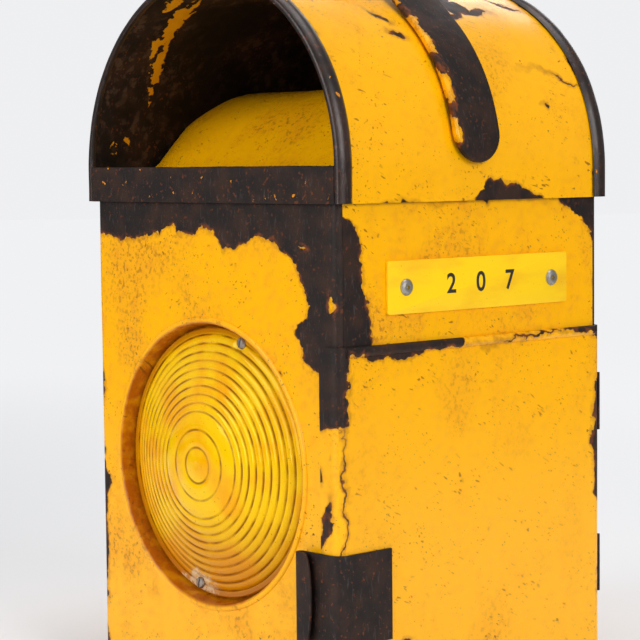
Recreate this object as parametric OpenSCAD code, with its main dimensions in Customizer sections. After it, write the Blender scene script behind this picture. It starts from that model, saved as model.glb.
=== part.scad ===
// Roadworks hazard lantern: a square sheet-steel case with a round lens, a vented
// open-fronted hood, a strap handle, a side door and a small oil burner inside.
// The lens faces -Y, the door is on +X, and the case stands on Z = 0.

/* [Case] */
// Side of the square case
case_w = 184; // [180:1:188]
// Height of the case walls
case_h = 263; // [258:1:266]
// Thickness of the sheet steel
sheet = 1.2; // [1:0.1:1.4]
// Outer radius of the folded case corners
corner_r = 4; // [3:0.5:5]
// Height of the base tray's skirt
skirt_h = 12; // [8:1:12]

/* [Lens] */
// Sideways place of the lens centre
lens_x = -3; // [-6:1:6]
// Height of the lens centre
lens_z = 117; // [112:1:120]
// Radius of the crest of the pressed bead round the lens
bead_r = 71.5; // [70:0.5:73]
// Depth of the lens seat behind the case front
seat_depth = 9; // [7:0.5:10]
// How far the lens stands proud of the case front
lens_rise = 8; // [6:0.5:10]
// Distance between the lens ribs
rib_pitch = 4.2; // [3.6:0.1:4.8]

/* [Hood] */
// Inner radius of the vaulted canopy
vault_r = 94; // [94:0.5:96]
// Length of the canopy's straight skirt below its springing
skirt_drop = 16.7; // [14:0.1:18]
// Radius to the crest of the rims
rim_r = 97.4; // [97:0.1:98]
// Width of each rolled rim
rim_w = 9.6; // [8:0.1:10]
// Height of the header strip over the lens face
header_h = 17.9; // [16:0.1:18]

/* [Handle] */
// Width of the strap handle
strap_w = 30.4; // [26:0.2:34]
// Depth of the strap's pressed channel
strap_t = 4.5; // [4:0.1:5]
// Middle of the strap along the hood
strap_y = -3.2; // [-6:0.1:6]
// Angle of the strap's round ends above the springing
strap_end = 10; // [8:1:14]
// Angle at which the strap leaves the canopy
strap_lift = 46; // [42:1:50]
// Inner radius of the handle's crown
crown_r = 44; // [40:1:48]

/* [Door] */
// Top of the door
door_top = 180; // [178:1:182]
// Width of the door's front and rear flanges, from its corner's centre
flange_w = 7.2; // [6:0.1:8]
// Bottom of the clasp
clasp_z = 40; // [34:0.5:46]
// Height of the clasp
clasp_h = 43.5; // [38:0.5:50]

/* [Lamp] */
// Half width of the oil tank across the lantern
tank_x = 75; // [70:1:75]
// Half depth of the oil tank
tank_y = 74; // [70:1:74]
// Top of the oil tank
tank_top = 60; // [54:1:60]
// Radius of the round wick
wick_r = 4.3; // [3.8:0.1:4.4]
// Radius of the reflector
reflector_r = 50; // [44:1:52]

/* [Hidden] */
$fn = 64;
bite = 1;                                  // overrun of every cut
half = case_w / 2;                         // case face from the centre line
inner = half - sheet;                      // inside of the case walls
bend = half - corner_r;                    // centre of the corner bends
tray_half = half + sheet;
// Door and its aperture
door_gap = 0.6;
door_in = half + door_gap;
door_out = door_in + sheet;
door_z = skirt_h + 1;
aperture_y = 76;
aperture_z = [14, 168];
hem_h = 5;
hem_rise = 1.6;
flange_r = 5;
// Name plate
plate_y = [-61, 66];
plate_z = [193.6, 219];
plate_t = 1.6;
rivet_y = [-48.9, 54.1];
rivet_z = 206.3;
rivet_hole_r = 2.05;
// Lens seat, from the case front, along the lens axis
dish_r = 75;
bead_rise = 1.3;
bead_half = 1.9;
seat_r = 68.4;
seat_in_r = 58;
gasket_t = 0.8;
lens_r = 67.4;
lens_flange_t = 2.2;
lens_dome_r = 64;
lens_drop = 6;
lens_t = 3.9;
lens_back = -seat_depth + gasket_t;
screw_r = 63.9;
screw_angles = [72, -103];
screw_pocket_r = 3.4;
screw_seat = -seat_depth + gasket_t + lens_flange_t - 0.3;
screw_hole_r = 1.6;
// Hood
vault_out = vault_r + sheet;
vault_y = tray_half;
skirt_z = case_h - skirt_drop;
rim_bow = (pow(rim_w / 2, 2) + pow(rim_r - vault_out, 2)) / (2 * (rim_r - vault_out));
rim_y = vault_y + sheet - rim_w / 2;
flue_z = case_h - 5;
deflector_top = 304;
// Handle
strap_in = vault_out + 0.05;
strap_run = (strap_in - crown_r) / tan(strap_lift);
crown_z = case_h + (strap_in - crown_r) * sin(strap_lift) + strap_run * cos(strap_lift);
// Hinges, a vertical axis on the back face
hinge_at = [77.5, half + 2.8];
hinge_r = 2.6;
hinge_bore_r = 1.35;
pin_r = 1.3;
hinge_z = [40, 125];
hinge_h = 30;
knuckle_gap = 0.3;
// Clasp, a spring tongue round the front corner of the door
clasp_gap = 0.3;
clasp_y = -61;
tongue_x = 70;
// Lamp
burner_x = lens_x;
tank_z = 6;
collar_top = 66;
base_top = 69;
tube_r = 5.5;
tube_z = [50, 98];
spindle_y = 7.8;
spindle_z = 76;
spindle_r = 1.5;
lug_x = [burner_x - 10, burner_x + 10];
lug_t = 2;
filler_at = [45, -45];
cap_top = 74;

// Frames and repeated shapes

// Local +Z points out of the case front, from the lens centre on that face
module on_lens_axis() {
    translate([lens_x, -half, lens_z]) rotate([90, 0, 0]) children();
}

// Two copies, one for each side of the lantern's middle plane across X
module both_sides() {
    children();
    mirror([1, 0, 0]) children();
}

// Two copies, one at the front and one at the back
module both_ends() {
    children();
    mirror([0, 1, 0]) children();
}

// A folded corner of sheet about (x, y), in the +X +Y quarter
module fold(at, r_in, r_out, z0, z1) {
    translate([at[0], at[1], z0]) rotate_extrude(angle = 90)
        translate([r_in, 0]) square([r_out - r_in, z1 - z0]);
}

// A box from its lowest corner to its highest
module box(low, high) {
    translate(low) cube(high - low);
}

// A profile of radius and forward distance, carried up one skirt, over the vault and down the other
module over_vault(drop) {
    translate([0, 0, case_h]) rotate([90, 0, 0]) rotate_extrude(angle = 180, $fn = 96) children();
    both_sides() translate([0, 0, case_h - drop]) linear_extrude(drop) mirror([0, 1]) children();
}

// A front or back wall of the case, folded round both corners
module end_wall() {
    box([-bend, -half, sheet], [bend, -inner, case_h]);
    both_sides() mirror([0, 1, 0]) fold([bend, bend], corner_r - sheet, corner_r, sheet, case_h);
}

// Straight round rod along X
module rod_x(r, from, to, at) {
    translate([from, at[0], at[1]]) rotate([0, 90, 0]) cylinder(r = r, h = to - from);
}

// Case

module front_panel() {
    lip = seat_depth + sheet;
    wall_r = bead_r - bead_half;
    crest = [for (a = [0 : 22.5 : 180]) [bead_r + bead_half * cos(a), bead_rise * sin(a)]];
    color("gold") difference() {
        union() {
            difference() {
                end_wall();
                on_lens_axis() translate([0, 0, -10]) cylinder(r = dish_r, h = 20);
            }
            on_lens_axis() rotate_extrude($fn = 128) polygon(concat(
                [[dish_r, -sheet], [dish_r, 0]], crest,
                [[seat_r, -seat_depth], [seat_in_r, -seat_depth], [seat_in_r, -lip],
                 [seat_r + sheet, -lip], [wall_r + sheet, -sheet]]));
        }
        lens_screw_holes();
    }
}

module lens_screw_holes() {
    on_lens_axis() for (a = screw_angles) rotate([0, 0, a]) translate([screw_r, 0, -12])
        cylinder(r = screw_hole_r, h = 16, $fn = 24);
}

module back_panel() {
    color("gold") difference() {
        mirror([0, 1, 0]) end_wall();
        for (i = [-2 : 2]) box([i * 24 - 8, inner - bite, 20], [i * 24 + 8, half + bite, 23.5]);
    }
}

module side_wall() {
    box([inner, -bend, sheet], [half, bend, case_h]);
}

module left_side_panel() {
    color("gold") mirror([1, 0, 0]) side_wall();
}

module right_side_panel() {
    color("gold") difference() {
        side_wall();
        box([inner - bite, -aperture_y, aperture_z[0]], [half + bite, aperture_y, aperture_z[1]]);
        for (y = rivet_y) rod_x(rivet_hole_r, inner - bite, half + bite, [y, rivet_z]);
    }
}

module base_pan() {
    r = corner_r + sheet;
    color("saddlebrown") {
        box([-bend, -tray_half, 0], [bend, tray_half, sheet]);
        both_sides() {
            box([bend, -bend, 0], [tray_half, bend, sheet]);
            box([half, -bend, sheet], [tray_half, bend, skirt_h]);
        }
        both_ends() box([-bend, half, sheet], [bend, tray_half, skirt_h]);
        both_sides() both_ends() {
            fold([bend, bend], 0, r, 0, sheet);
            fold([bend, bend], corner_r, r, sheet, skirt_h);
        }
    }
}

// Floor of the hood, with the flue opening

module flue_plate() {
    edge = inner - 0.05;
    color("sienna") difference() {
        box([-edge, -edge, flue_z], [edge, edge, flue_z + sheet]);
        box([-50, -5, flue_z - bite], [50, 65, flue_z + sheet + bite]);
    }
}

// Curved sheet over the flue, which keeps rain out and turns the fumes to the back of the hood
module roof_deflector() {
    foot_z = flue_z + sheet;
    foot_w = 14;
    arc_r = 70;
    centre = [13, deflector_top - arc_r];
    slope = 46;
    arc = [for (i = [0 : 11]) let(a = 90 + slope * (1 - i / 11)) centre + arc_r * [cos(a), sin(a)]];
    start_y = arc[0][0] - (arc[0][1] - foot_z - sheet) / tan(slope);
    top = concat([[start_y - foot_w, foot_z + sheet], [start_y, foot_z + sheet]], arc, [[62, deflector_top]]);
    under = concat([[62, deflector_top - sheet]],
        [for (i = [11 : -1 : 0]) arc[i] - sheet * (arc[i] - centre) / arc_r],
        [[start_y + 1.5 * sheet, foot_z], [start_y - foot_w, foot_z]]);
    color("gold") intersection() {
        translate([-inner + 0.2, 0, 0]) rotate([90, 0, 90]) linear_extrude(2 * inner - 0.4)
            polygon(concat(top, under));
        union() {
            translate([0, 100, case_h]) rotate([90, 0, 0]) cylinder(r = vault_r - 0.3, h = 200, $fn = 96);
            box([-inner, -100, flue_z], [inner, 100, case_h + 5]);
        }
    }
}

// Hood

module hood_canopy() {
    color("gold") over_vault(skirt_drop)
        translate([vault_r, -vault_y]) square([sheet, 2 * vault_y]);
}

// Rolled rim: a bead over the canopy's edge, closed over its end
module rim_profile(lip) {
    intersection() {
        translate([rim_r - rim_bow, rim_y]) circle(r = rim_bow);
        translate([vault_out, rim_y - rim_w]) square([rim_w, 2 * rim_w]);
    }
    translate([vault_r - sheet, vault_y]) square([2 * sheet, sheet]);
    if (lip) translate([vault_r - sheet, vault_y - 2]) square([sheet, 2]);
}

module hood_front_rim() {
    color("dimgray") over_vault(skirt_drop) rim_profile(true);
}

module hood_rear_rim() {
    color("dimgray") mirror([0, 1, 0]) over_vault(skirt_drop) rim_profile(false);
}

module hood_header() {
    x = vault_r - sheet - 0.2;
    color("dimgray") {
        box([-x, -vault_y - sheet, skirt_z], [x, -vault_y, skirt_z + header_h]);
        box([-x, -vault_y, skirt_z + header_h - sheet], [x, -inner, skirt_z + header_h]);
    }
}

module hood_rear_plate() {
    r = vault_r - 0.1;
    color("gold") {
        translate([0, vault_y, case_h]) rotate([90, 0, 0]) rotate_extrude(angle = 180, $fn = 96)
            square([r, sheet]);
        box([-r, half, skirt_z], [r, vault_y, case_h]);
    }
}

// Spacers between the case and the hood
module hood_cleats() {
    color("sienna") {
        both_sides() box([half, -80, 248], [vault_r, 80, 261]);
        box([-80, -vault_y, 248], [80, -half, 260]);
    }
}

// Line of the strap at a height t above its underside, over half of the handle from its end to the top
function half_strap(t) = concat(
    [for (i = [-4 : 9]) let(a = strap_end + (strap_lift - strap_end) * i / 9)
        [(strap_in + t) * cos(a), case_h + (strap_in + t) * sin(a)]],
    [for (i = [0 : 10]) let(a = strap_lift + (90 - strap_lift) * i / 10)
        [(crown_r + t) * cos(a), crown_z + (crown_r + t) * sin(a)]]);

function strap_line(t) = let(right = half_strap(t)) concat(right,
    [for (i = [len(right) - 2 : -1 : 0]) [-right[i][0], right[i][1]]]);

// The strap's solid between two heights, with its two round ends
module strap_body(w, low, high) {
    under = strap_line(low);
    end_z = case_h + strap_in * sin(strap_end);
    difference() {
        translate([0, strap_y + w / 2, 0]) rotate([90, 0, 0]) linear_extrude(w)
            polygon(concat(strap_line(high), [for (i = [len(under) - 1 : -1 : 0]) under[i]]));
        difference() {
            box([-2 * vault_r, strap_y - strap_w, 0], [2 * vault_r, strap_y + strap_w, end_z]);
            rod_x(w / 2, -2 * vault_r - bite, 2 * vault_r + bite, [strap_y, end_z]);
        }
    }
}

// Strap handle: a pressed channel that lies on the canopy and rises to a crown
module carry_handle() {
    color("dimgray") difference() {
        strap_body(strap_w, 0, strap_t);
        strap_body(strap_w - 2 * sheet, -bite, strap_t - sheet);
    }
}

// Name plate

module name_plate() {
    color("yellow") difference() {
        box([half, plate_y[0], plate_z[0]], [half + plate_t, plate_y[1], plate_z[1]]);
        for (y = rivet_y) rod_x(rivet_hole_r, half - bite, half + plate_t + bite, [y, rivet_z]);
    }
}

module name_plate_rivets() {
    face = half + plate_t;
    color("silver") for (y = rivet_y) {
        difference() {
            union() {
                rod_x(rivet_hole_r - 0.05, inner - 1.6, face, [y, rivet_z]);
                translate([face, y, rivet_z]) rotate([0, 90, 0]) rotate_extrude($fn = 48)
                    polygon([[0, 0], [4, 0], [4, 0.4], [3.4, 1.1], [2.2, 1.5], [0, 1.5]]);
            }
            rod_x(1, face - 2, face + 3, [y, rivet_z]);
        }
        rod_x(3, inner - 1.6, inner, [y, rivet_z]);
    }
}

// Lens, gasket and its two screws

// Front of the domed lens above its flange at radius r, with round-topped ribs
function dome(r) = lens_rise - (lens_rise + lens_drop) * pow(r / lens_dome_r, 2);
function rib(r) = r < 2 * rib_pitch ? 0 : 0.9 * abs(sin(180 * r / rib_pitch)) - 0.9;

module lens() {
    front = [for (r = [0 : rib_pitch / 4 : lens_dome_r]) [r, dome(r) + rib(r)]];
    back = [for (r = [55 : -5 : 0]) [r, dome(r) - lens_t]];
    color("orange") difference() {
        on_lens_axis() rotate_extrude($fn = 128) polygon(concat(
            front, [[lens_dome_r, lens_back + lens_flange_t], [lens_r, lens_back + lens_flange_t],
            [lens_r, lens_back]], [[56, lens_back]], back));
        lens_screw_holes();
        at_lens_screws() translate([0, 0, screw_seat]) cylinder(r = screw_pocket_r, h = 8, $fn = 32);
    }
}

module lens_gasket() {
    color("black") difference() {
        on_lens_axis() translate([0, 0, -seat_depth]) rotate_extrude($fn = 96)
            translate([seat_in_r + 0.5, 0]) square([lens_r - seat_in_r - 0.5, gasket_t]);
        lens_screw_holes();
    }
}

module at_lens_screws() {
    on_lens_axis() for (a = screw_angles) rotate([0, 0, a]) translate([screw_r, 0, 0]) children();
}

module lens_screws() {
    head = screw_seat;
    color("silver") at_lens_screws() {
        difference() {
            translate([0, 0, head]) rotate_extrude($fn = 32)
                polygon([[0, 0], [2.9, 0], [2.9, 0.8], [2.3, 1.6], [0, 1.9]]);
            translate([-4, -0.4, head + 1]) cube([8, 0.8, 2]);
        }
        translate([0, 0, -seat_depth - sheet - 3.4]) cylinder(r = 1.45, h = seat_depth + sheet + 3.4 + head, $fn = 24);
    }
}

module lens_nuts() {
    color("silver") at_lens_screws() translate([0, 0, -seat_depth - sheet - 2.4]) difference() {
        cylinder(r = 3.1, h = 2.4, $fn = 6);
        translate([0, 0, -bite]) cylinder(r = 1.5, h = 5, $fn = 24);
    }
}

// Reflector behind the flame

module reflector() {
    vertex_y = 45;
    focal = 31;
    wall = 0.8;
    dish = [for (r = [0 : 5 : reflector_r]) [r, r * r / (4 * focal)]];
    rear = [for (i = [len(dish) - 1 : -1 : 0]) dish[i] - [0, wall]];
    color("silver") translate([lens_x, vertex_y, lens_z]) rotate([90, 0, 0])
        rotate_extrude($fn = 96) polygon(concat(dish, rear));
}

module reflector_bracket() {
    color("silver") {
        box([lens_x - 8, 45.8, lens_z - 0.6], [lens_x + 8, inner, lens_z + 0.6]);
        box([lens_x - 8, inner - sheet, lens_z - 18], [lens_x + 8, inner, lens_z + 18]);
    }
}

// Oil tank and what holds it

module tank_guides() {
    color("sienna") both_ends() {
        box([-tank_x, 50, sheet], [tank_x, 60, tank_z]);
        box([-60, tank_y + 2, sheet], [60, tank_y + 2 + sheet, 20]);
    }
}

// Leaf spring between the left wall and the tank
module tank_spring() {
    bow_r = 90.75;
    leaf_t = 0.6;
    centre_x = -tank_x - 0.15 - bow_r;
    foot_y = 58;
    bow = [for (a = [-33 : 3 : 33]) [cos(a), sin(a)]];
    color("silver") translate([0, 0, 24]) linear_extrude(16) polygon(concat(
        [[-inner, -foot_y], [-inner + leaf_t, -foot_y]],
        [for (p = bow) [centre_x, 0] + bow_r * p],
        [[-inner + leaf_t, foot_y], [-inner, foot_y]],
        [for (i = [len(bow) - 1 : -1 : 0]) [centre_x, 0] + (bow_r - leaf_t) * bow[i]]));
}

module tank_body() {
    wall = 0.8;
    color("peru") difference() {
        box([-tank_x, -tank_y, tank_z], [tank_x, tank_y, tank_top]);
        box([-tank_x + wall, -tank_y + wall, tank_z + wall], [tank_x - wall, tank_y - wall, tank_top + bite]);
    }
}

module tank_lid() {
    color("peru") difference() {
        union() {
            box([-tank_x, -tank_y, tank_top], [tank_x, tank_y, tank_top + sheet]);
            translate([burner_x, 0, tank_top]) cylinder(r = 17, h = 2);
        }
        translate([burner_x, 0, tank_top - bite]) cylinder(r = 11, h = 5);
        translate([filler_at[0], filler_at[1], tank_top - bite]) cylinder(r = 8.5, h = 5);
    }
}

module filler_neck() {
    color("peru") translate([filler_at[0], filler_at[1], tank_top + sheet]) difference() {
        cylinder(r = 10, h = 6);
        translate([0, 0, -bite]) cylinder(r = 8.5, h = 9);
    }
}

module filler_cap() {
    neck_top = tank_top + sheet + 6;
    color("darkgoldenrod") translate([filler_at[0], filler_at[1], 0]) difference() {
        translate([0, 0, neck_top - 4]) cylinder(r = 12.5, h = cap_top - neck_top + 2);
        translate([0, 0, neck_top - 4 - bite]) cylinder(r = 10.2, h = 4.3 + bite);
        for (i = [0 : 17]) rotate([0, 0, i * 20]) translate([12.9, 0, neck_top - 5])
            cylinder(r = 0.9, h = 20, $fn = 16);
    }
}

// Burner

module burner_collar() {
    color("darkgoldenrod") translate([burner_x, 0, tank_top + 2]) difference() {
        cylinder(r = 14, h = collar_top - tank_top - 2);
        translate([0, 0, -bite]) cylinder(r = 11, h = 10);
    }
}

module burner_base() {
    color("darkgoldenrod") difference() {
        union() {
            translate([burner_x, 0, collar_top]) cylinder(r = 15, h = base_top - collar_top);
            for (x = lug_x) box([x - lug_t / 2, 2, base_top], [x + lug_t / 2, 10.5, spindle_z + 3.5]);
        }
        translate([burner_x, 0, collar_top - bite]) cylinder(r = tube_r, h = 10);
        rod_x(spindle_r + 0.05, lug_x[0] - lug_t, lug_x[1] + lug_t, [spindle_y, spindle_z]);
    }
}

module wick_tube() {
    color("darkgoldenrod") difference() {
        translate([burner_x, 0, tube_z[0]]) cylinder(r = tube_r, h = tube_z[1] - tube_z[0]);
        translate([burner_x, 0, tube_z[0] - bite]) cylinder(r = wick_r + 0.2, h = 60);
        box([burner_x - 2.2, 0, spindle_z - 4.5], [burner_x + 2.2, 10, spindle_z + 4.5]);
    }
}

module flame_guard() {
    color("darkgoldenrod") translate([burner_x, 0, 86]) rotate_extrude($fn = 48)
        polygon([[tube_r, 0], [13, 0], [8, 17], [7.2, 17], [12, 0.8], [tube_r, 0.8]]);
}

module wick() {
    color("ivory") translate([burner_x, 0, 12]) cylinder(r = wick_r, h = 88);
}

module wick_spindle() {
    color("silver") rod_x(spindle_r, lug_x[0] - 2, 40, [spindle_y, spindle_z]);
}

module wick_wheel() {
    color("silver") translate([burner_x, spindle_y, spindle_z]) rotate([0, 90, 0]) difference() {
        translate([0, 0, -1.5]) cylinder(r = 3.4, h = 3);
        translate([0, 0, -2]) cylinder(r = spindle_r, h = 4);
    }
}

module wick_knob() {
    color("darkgoldenrod") translate([40, spindle_y, spindle_z]) rotate([0, 90, 0]) difference() {
        cylinder(r = 8.5, h = 8);
        for (i = [0 : 15]) rotate([0, 0, i * 22.5]) translate([9, 0, -bite])
            cylinder(r = 1.1, h = 12, $fn = 16);
    }
}

// Door, hinges and clasp

// Knuckles of a hinge between two heights, with the bore for its pin
module knuckle(z0, z1) {
    difference() {
        union() {
            translate([hinge_at[0], hinge_at[1], z0]) cylinder(r = hinge_r, h = z1 - z0, $fn = 32);
            children();
        }
        translate([hinge_at[0], hinge_at[1], z0 - bite])
            cylinder(r = hinge_bore_r, h = z1 - z0 + 2 * bite, $fn = 32);
    }
}

module hinge_fixed_leaves() {
    third = hinge_h / 3;
    color("sienna") for (z = hinge_z) {
        for (k = [0, 2]) knuckle(z + k * third, z + (k + 1) * third)
            box([74, half, z + k * third], [hinge_at[0], tray_half, z + (k + 1) * third]);
        box([55, half, z], [74, tray_half, z + hinge_h]);
    }
}

module hinge_moving_leaves() {
    third = hinge_h / 3;
    color("sienna") for (z = hinge_z) {
        low = z + third + knuckle_gap;
        high = z + 2 * third - knuckle_gap;
        knuckle(low, high) box([hinge_at[0], door_out, low], [81, door_out + sheet, high]);
        box([81, door_out, z], [bend + 3, door_out + sheet, z + hinge_h]);
    }
}

module hinge_pins() {
    color("silver") for (z = hinge_z) {
        translate([hinge_at[0], hinge_at[1], z - 1.2]) cylinder(r = pin_r, h = hinge_h + 2.4, $fn = 32);
        for (end = [z - 2, z + hinge_h + 0.2])
            translate([hinge_at[0], hinge_at[1], end]) cylinder(r = hinge_r, h = 1.8, $fn = 32);
    }
}

module door_skin() {
    r_in = corner_r + door_gap;
    hem_r = (pow(hem_h / 2, 2) + pow(hem_rise, 2)) / (2 * hem_rise);
    flange_x = bend - flange_w;
    color("gold") {
        box([door_in, -bend, door_z], [door_out, bend, door_top]);
        both_ends() {
            fold([bend, bend], r_in, r_in + sheet, door_z, door_top);
            box([flange_x, door_in, door_z], [bend, door_out, door_top - flange_r]);
            intersection() {
                box([flange_x, door_in, door_top - flange_r - bite], [bend, door_out, door_top]);
                union() {
                    translate([flange_x + flange_r, 200, door_top - flange_r]) rotate([90, 0, 0])
                        cylinder(r = flange_r, h = 200);
                    box([flange_x + flange_r, 0, 0], [bend, 200, door_top]);
                }
            }
        }
        intersection() {
            translate([door_out - hem_r + hem_rise, -bend, door_top - hem_h / 2]) rotate([-90, 0, 0])
                cylinder(r = hem_r, h = 2 * bend);
            box([door_out, -bend, door_top - hem_h], [door_out + 5, bend, door_top]);
        }
    }
}

module clasp_plate() {
    color("saddlebrown") box([door_out, -bend, clasp_z], [door_out + sheet, clasp_y, clasp_z + clasp_h]);
}

module clasp_tongue() {
    r_in = corner_r + door_gap + sheet + clasp_gap;
    face = bend + r_in;
    z1 = clasp_z + clasp_h;
    color("saddlebrown") mirror([0, 1, 0]) {
        fold([bend, bend], r_in, r_in + sheet, clasp_z, z1);
        box([tongue_x, face, clasp_z], [bend, face + sheet, z1]);
        fold_back = 2.4;
        translate([tongue_x, face + fold_back, clasp_z]) rotate([0, 0, 90])
            rotate_extrude(angle = 180) translate([fold_back - sheet, 0]) square([sheet, clasp_h]);
        box([tongue_x, face + 2 * fold_back - sheet, clasp_z], [tongue_x + 9, face + 2 * fold_back, z1]);
    }
}

front_panel();
back_panel();
left_side_panel();
right_side_panel();
base_pan();
flue_plate();
roof_deflector();
hood_canopy();
hood_front_rim();
hood_rear_rim();
hood_header();
hood_rear_plate();
hood_cleats();
carry_handle();
name_plate();
name_plate_rivets();
lens();
lens_gasket();
lens_screws();
lens_nuts();
reflector();
reflector_bracket();
tank_guides();
tank_spring();
tank_body();
tank_lid();
filler_neck();
filler_cap();
burner_collar();
burner_base();
wick_tube();
flame_guard();
wick();
wick_spindle();
wick_wheel();
wick_knob();
hinge_fixed_leaves();
hinge_pins();
hinge_moving_leaves();
door_skin();
clasp_plate();
clasp_tongue();
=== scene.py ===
"""Looks of a weathered roadworks hazard lantern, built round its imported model."""

import logging
import math
from dataclasses import dataclass, field
from enum import Enum
from typing import Callable, Sequence

import bmesh
import bpy
from mathutils import Euler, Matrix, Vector


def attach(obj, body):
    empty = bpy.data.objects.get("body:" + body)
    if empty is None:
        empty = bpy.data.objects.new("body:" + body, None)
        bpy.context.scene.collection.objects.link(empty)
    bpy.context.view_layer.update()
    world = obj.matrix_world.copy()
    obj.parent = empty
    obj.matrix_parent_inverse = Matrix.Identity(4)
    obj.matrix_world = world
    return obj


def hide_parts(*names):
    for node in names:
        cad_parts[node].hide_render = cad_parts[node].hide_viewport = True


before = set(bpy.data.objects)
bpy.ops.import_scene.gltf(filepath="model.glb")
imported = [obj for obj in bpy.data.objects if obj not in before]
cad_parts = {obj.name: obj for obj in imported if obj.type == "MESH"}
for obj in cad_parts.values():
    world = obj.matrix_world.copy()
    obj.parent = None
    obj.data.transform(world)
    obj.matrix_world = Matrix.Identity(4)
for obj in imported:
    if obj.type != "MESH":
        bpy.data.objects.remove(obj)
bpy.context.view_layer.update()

# One millimetre, and how near two vertices must be to count as one, in metres
MM = 0.001
WELD = 1e-6
LOG = logging.getLogger("lantern")
Socket = bpy.types.NodeSocket
Triple = tuple[float, float, float]
Pair = tuple[float, float]
Colour = Triple

YELLOW: Colour = (0.95, 0.445, 0.0005)
DULL_YELLOW: Colour = (0.70, 0.245, 0.002)
# Amber-brown grime, also used as painted shade in the lens recess
AMBER_GRIME_AND_SHADE: Colour = (0.42, 0.105, 0.002)
GRIME: Colour = (0.15, 0.042, 0.004)
RUST: Colour = (0.17, 0.040, 0.008)
BURNT: Colour = (0.011, 0.0065, 0.005)
BURNT_BROWN: Colour = (0.032, 0.013, 0.007)
# Worn grey steel, also standing for a painted sheen
WORN_GREY_AND_SHEEN: Colour = (0.085, 0.078, 0.080)


def point(x: float, y: float, z: float) -> Vector:
    """A point given in millimetres, in metres."""
    return Vector((x, y, z)) * MM


def arc(centre: Pair, radius: float, start: float, end: float, steps: int) -> list[Pair]:
    """Points of a circular arc.

    Args:
        centre: the arc's centre.
        radius: its radius.
        start: first angle in degrees.
        end: last angle in degrees.
        steps: number of chords.

    Returns:
        steps + 1 points from start to end.
    """
    turns = [math.radians(start + (end - start) * i / steps) for i in range(steps + 1)]
    return [(centre[0] + radius * math.cos(a), centre[1] + radius * math.sin(a)) for a in turns]


class Plane(Enum):
    """Which two directions a paint pattern is laid out in."""

    FRONT = "x across, z up"
    SIDE = "y across, z up"
    VAULT = "y across, distance round the canopy up"


class Wash(Enum):
    """How heavily dirt lies on the paint."""

    LIGHT = 0.32
    MEDIUM = 0.52
    HEAVY = 0.8


# Modelling bench


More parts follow.
